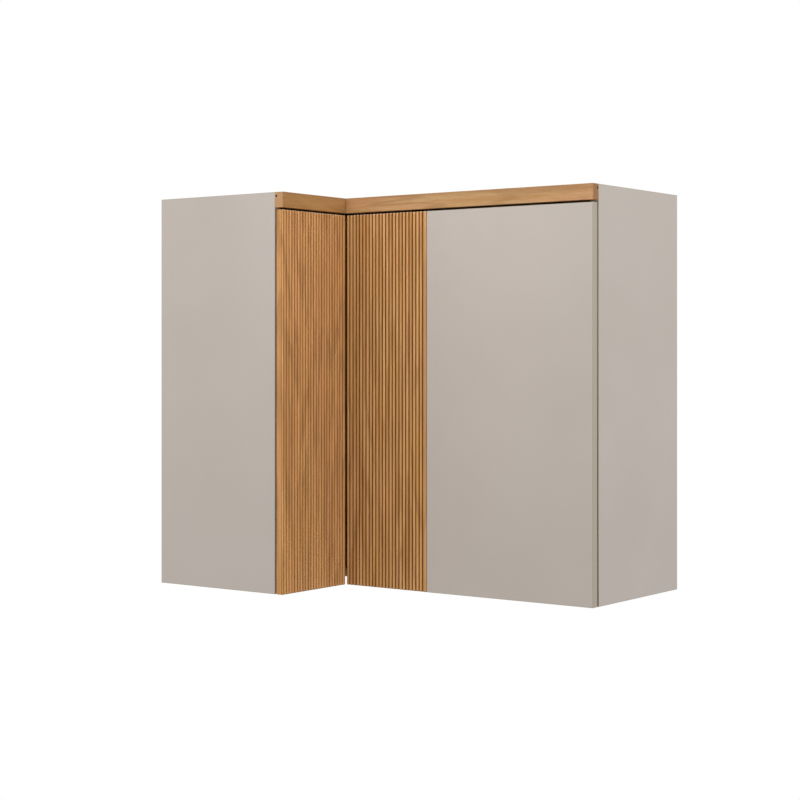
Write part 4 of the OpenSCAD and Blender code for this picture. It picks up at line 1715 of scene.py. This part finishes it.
TURNED = (
    TurnedParts("left_cup_screws", ZINC, out=LEFTWARD, **countersunk(3.5 * MM, 11 * MM)),
    TurnedParts("right_cup_screws", ZINC, out=REARWARD, **countersunk(3.5 * MM, 11 * MM)),
    TurnedParts("left_plate_screws", ZINC, out=REARWARD, **countersunk(4.8 * MM, 12 * MM)),
    TurnedParts("right_plate_screws", ZINC, out=LEFTWARD, **countersunk(4.8 * MM, 12 * MM)),
    TurnedParts("left_arm_screws", ZINC, out=REARWARD, **machine_screw(5 * MM, 6 * MM, 9 * MM, 2 * MM)),
    TurnedParts("right_arm_screws", ZINC, out=LEFTWARD, **machine_screw(5 * MM, 6 * MM, 9 * MM, 2 * MM)),
    TurnedParts("cleat_screws", YELLOW_ZINC, out=REARWARD, **countersunk(3.5 * MM, 11 * MM)),
    TurnedParts("left_back_screws", YELLOW_ZINC, out=LEFTWARD, **countersunk(3.5 * MM, 30 * MM)),
    TurnedParts("right_back_screws", YELLOW_ZINC, out=REARWARD, **countersunk(3.5 * MM, 30 * MM)),
    TurnedParts("hanging_rail_screws", YELLOW_ZINC, out=UPWARD, **countersunk(3.5 * MM, 45 * MM)),
    TurnedParts("left_hinge_pins", NICKEL, rod(2 * MM, 16 * MM, 0.3 * MM)),
    TurnedParts("right_hinge_pins", NICKEL, rod(2 * MM, 16 * MM, 0.3 * MM)),
    TurnedParts("shelf_pins", NICKEL, rod(5 * MM, 17 * MM, 0.6 * MM)),
    TurnedParts("left_cam_bolts", ZINC, rod(6 * MM, 46.5 * MM, 0.6 * MM)),
    TurnedParts("right_cam_bolts", ZINC, rod(6 * MM, 46.5 * MM, 0.6 * MM)),
    TurnedParts("door_joint_dowels", BEECH_ROD, rod(6 * MM, 30 * MM, 0.8 * MM), flutes=12),
    TurnedParts("left_panel_dowels", BEECH_ROD, rod(8 * MM, 35 * MM, 1 * MM), flutes=12),
    TurnedParts("right_panel_dowels", BEECH_ROD, rod(8 * MM, 35 * MM, 1 * MM), flutes=12),
    TurnedParts("front_rail_dowels", BEECH_ROD, rod(6 * MM, 30 * MM, 0.8 * MM), flutes=12),
    TurnedParts("rail_corner_dowel", BEECH_ROD, rod(6 * MM, 16 * MM, 0.8 * MM), flutes=12),
    TurnedParts("left_door_bumpers", RUBBER, dome(8 * MM, 1.7 * MM), out=LEFTWARD),
    TurnedParts("right_door_bumpers", RUBBER, dome(8 * MM, 1.7 * MM), out=REARWARD),
)

CAMS = (
    CamDiscs("left_cam_discs", ZINC, (0, -1, 0)),
    CamDiscs("right_cam_discs", ZINC, (1, 0, 0)),
)


def main() -> None:
    """Builds and dresses the cabinet and its studio."""
    logging.basicConfig(level=logging.INFO, format="%(name)s: %(message)s")
    cabinet = Cabinet.load()
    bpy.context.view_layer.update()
    studio = Studio()
    studio.set_camera()
    for board in BOARDS:
        board.build(cabinet)
    RibbedBoard("left_door_board", Wing.LEFT, RIB_OAK_LEFT).build(cabinet)
    RibbedBoard("right_door_ribbed_board", Wing.RIGHT, RIB_OAK_RIGHT).build(cabinet)
    for parts in (*PRESSINGS, *TURNED, *CAMS):
        parts.build(cabinet)
    studio.build()


if __name__ == "__main__":
    main()
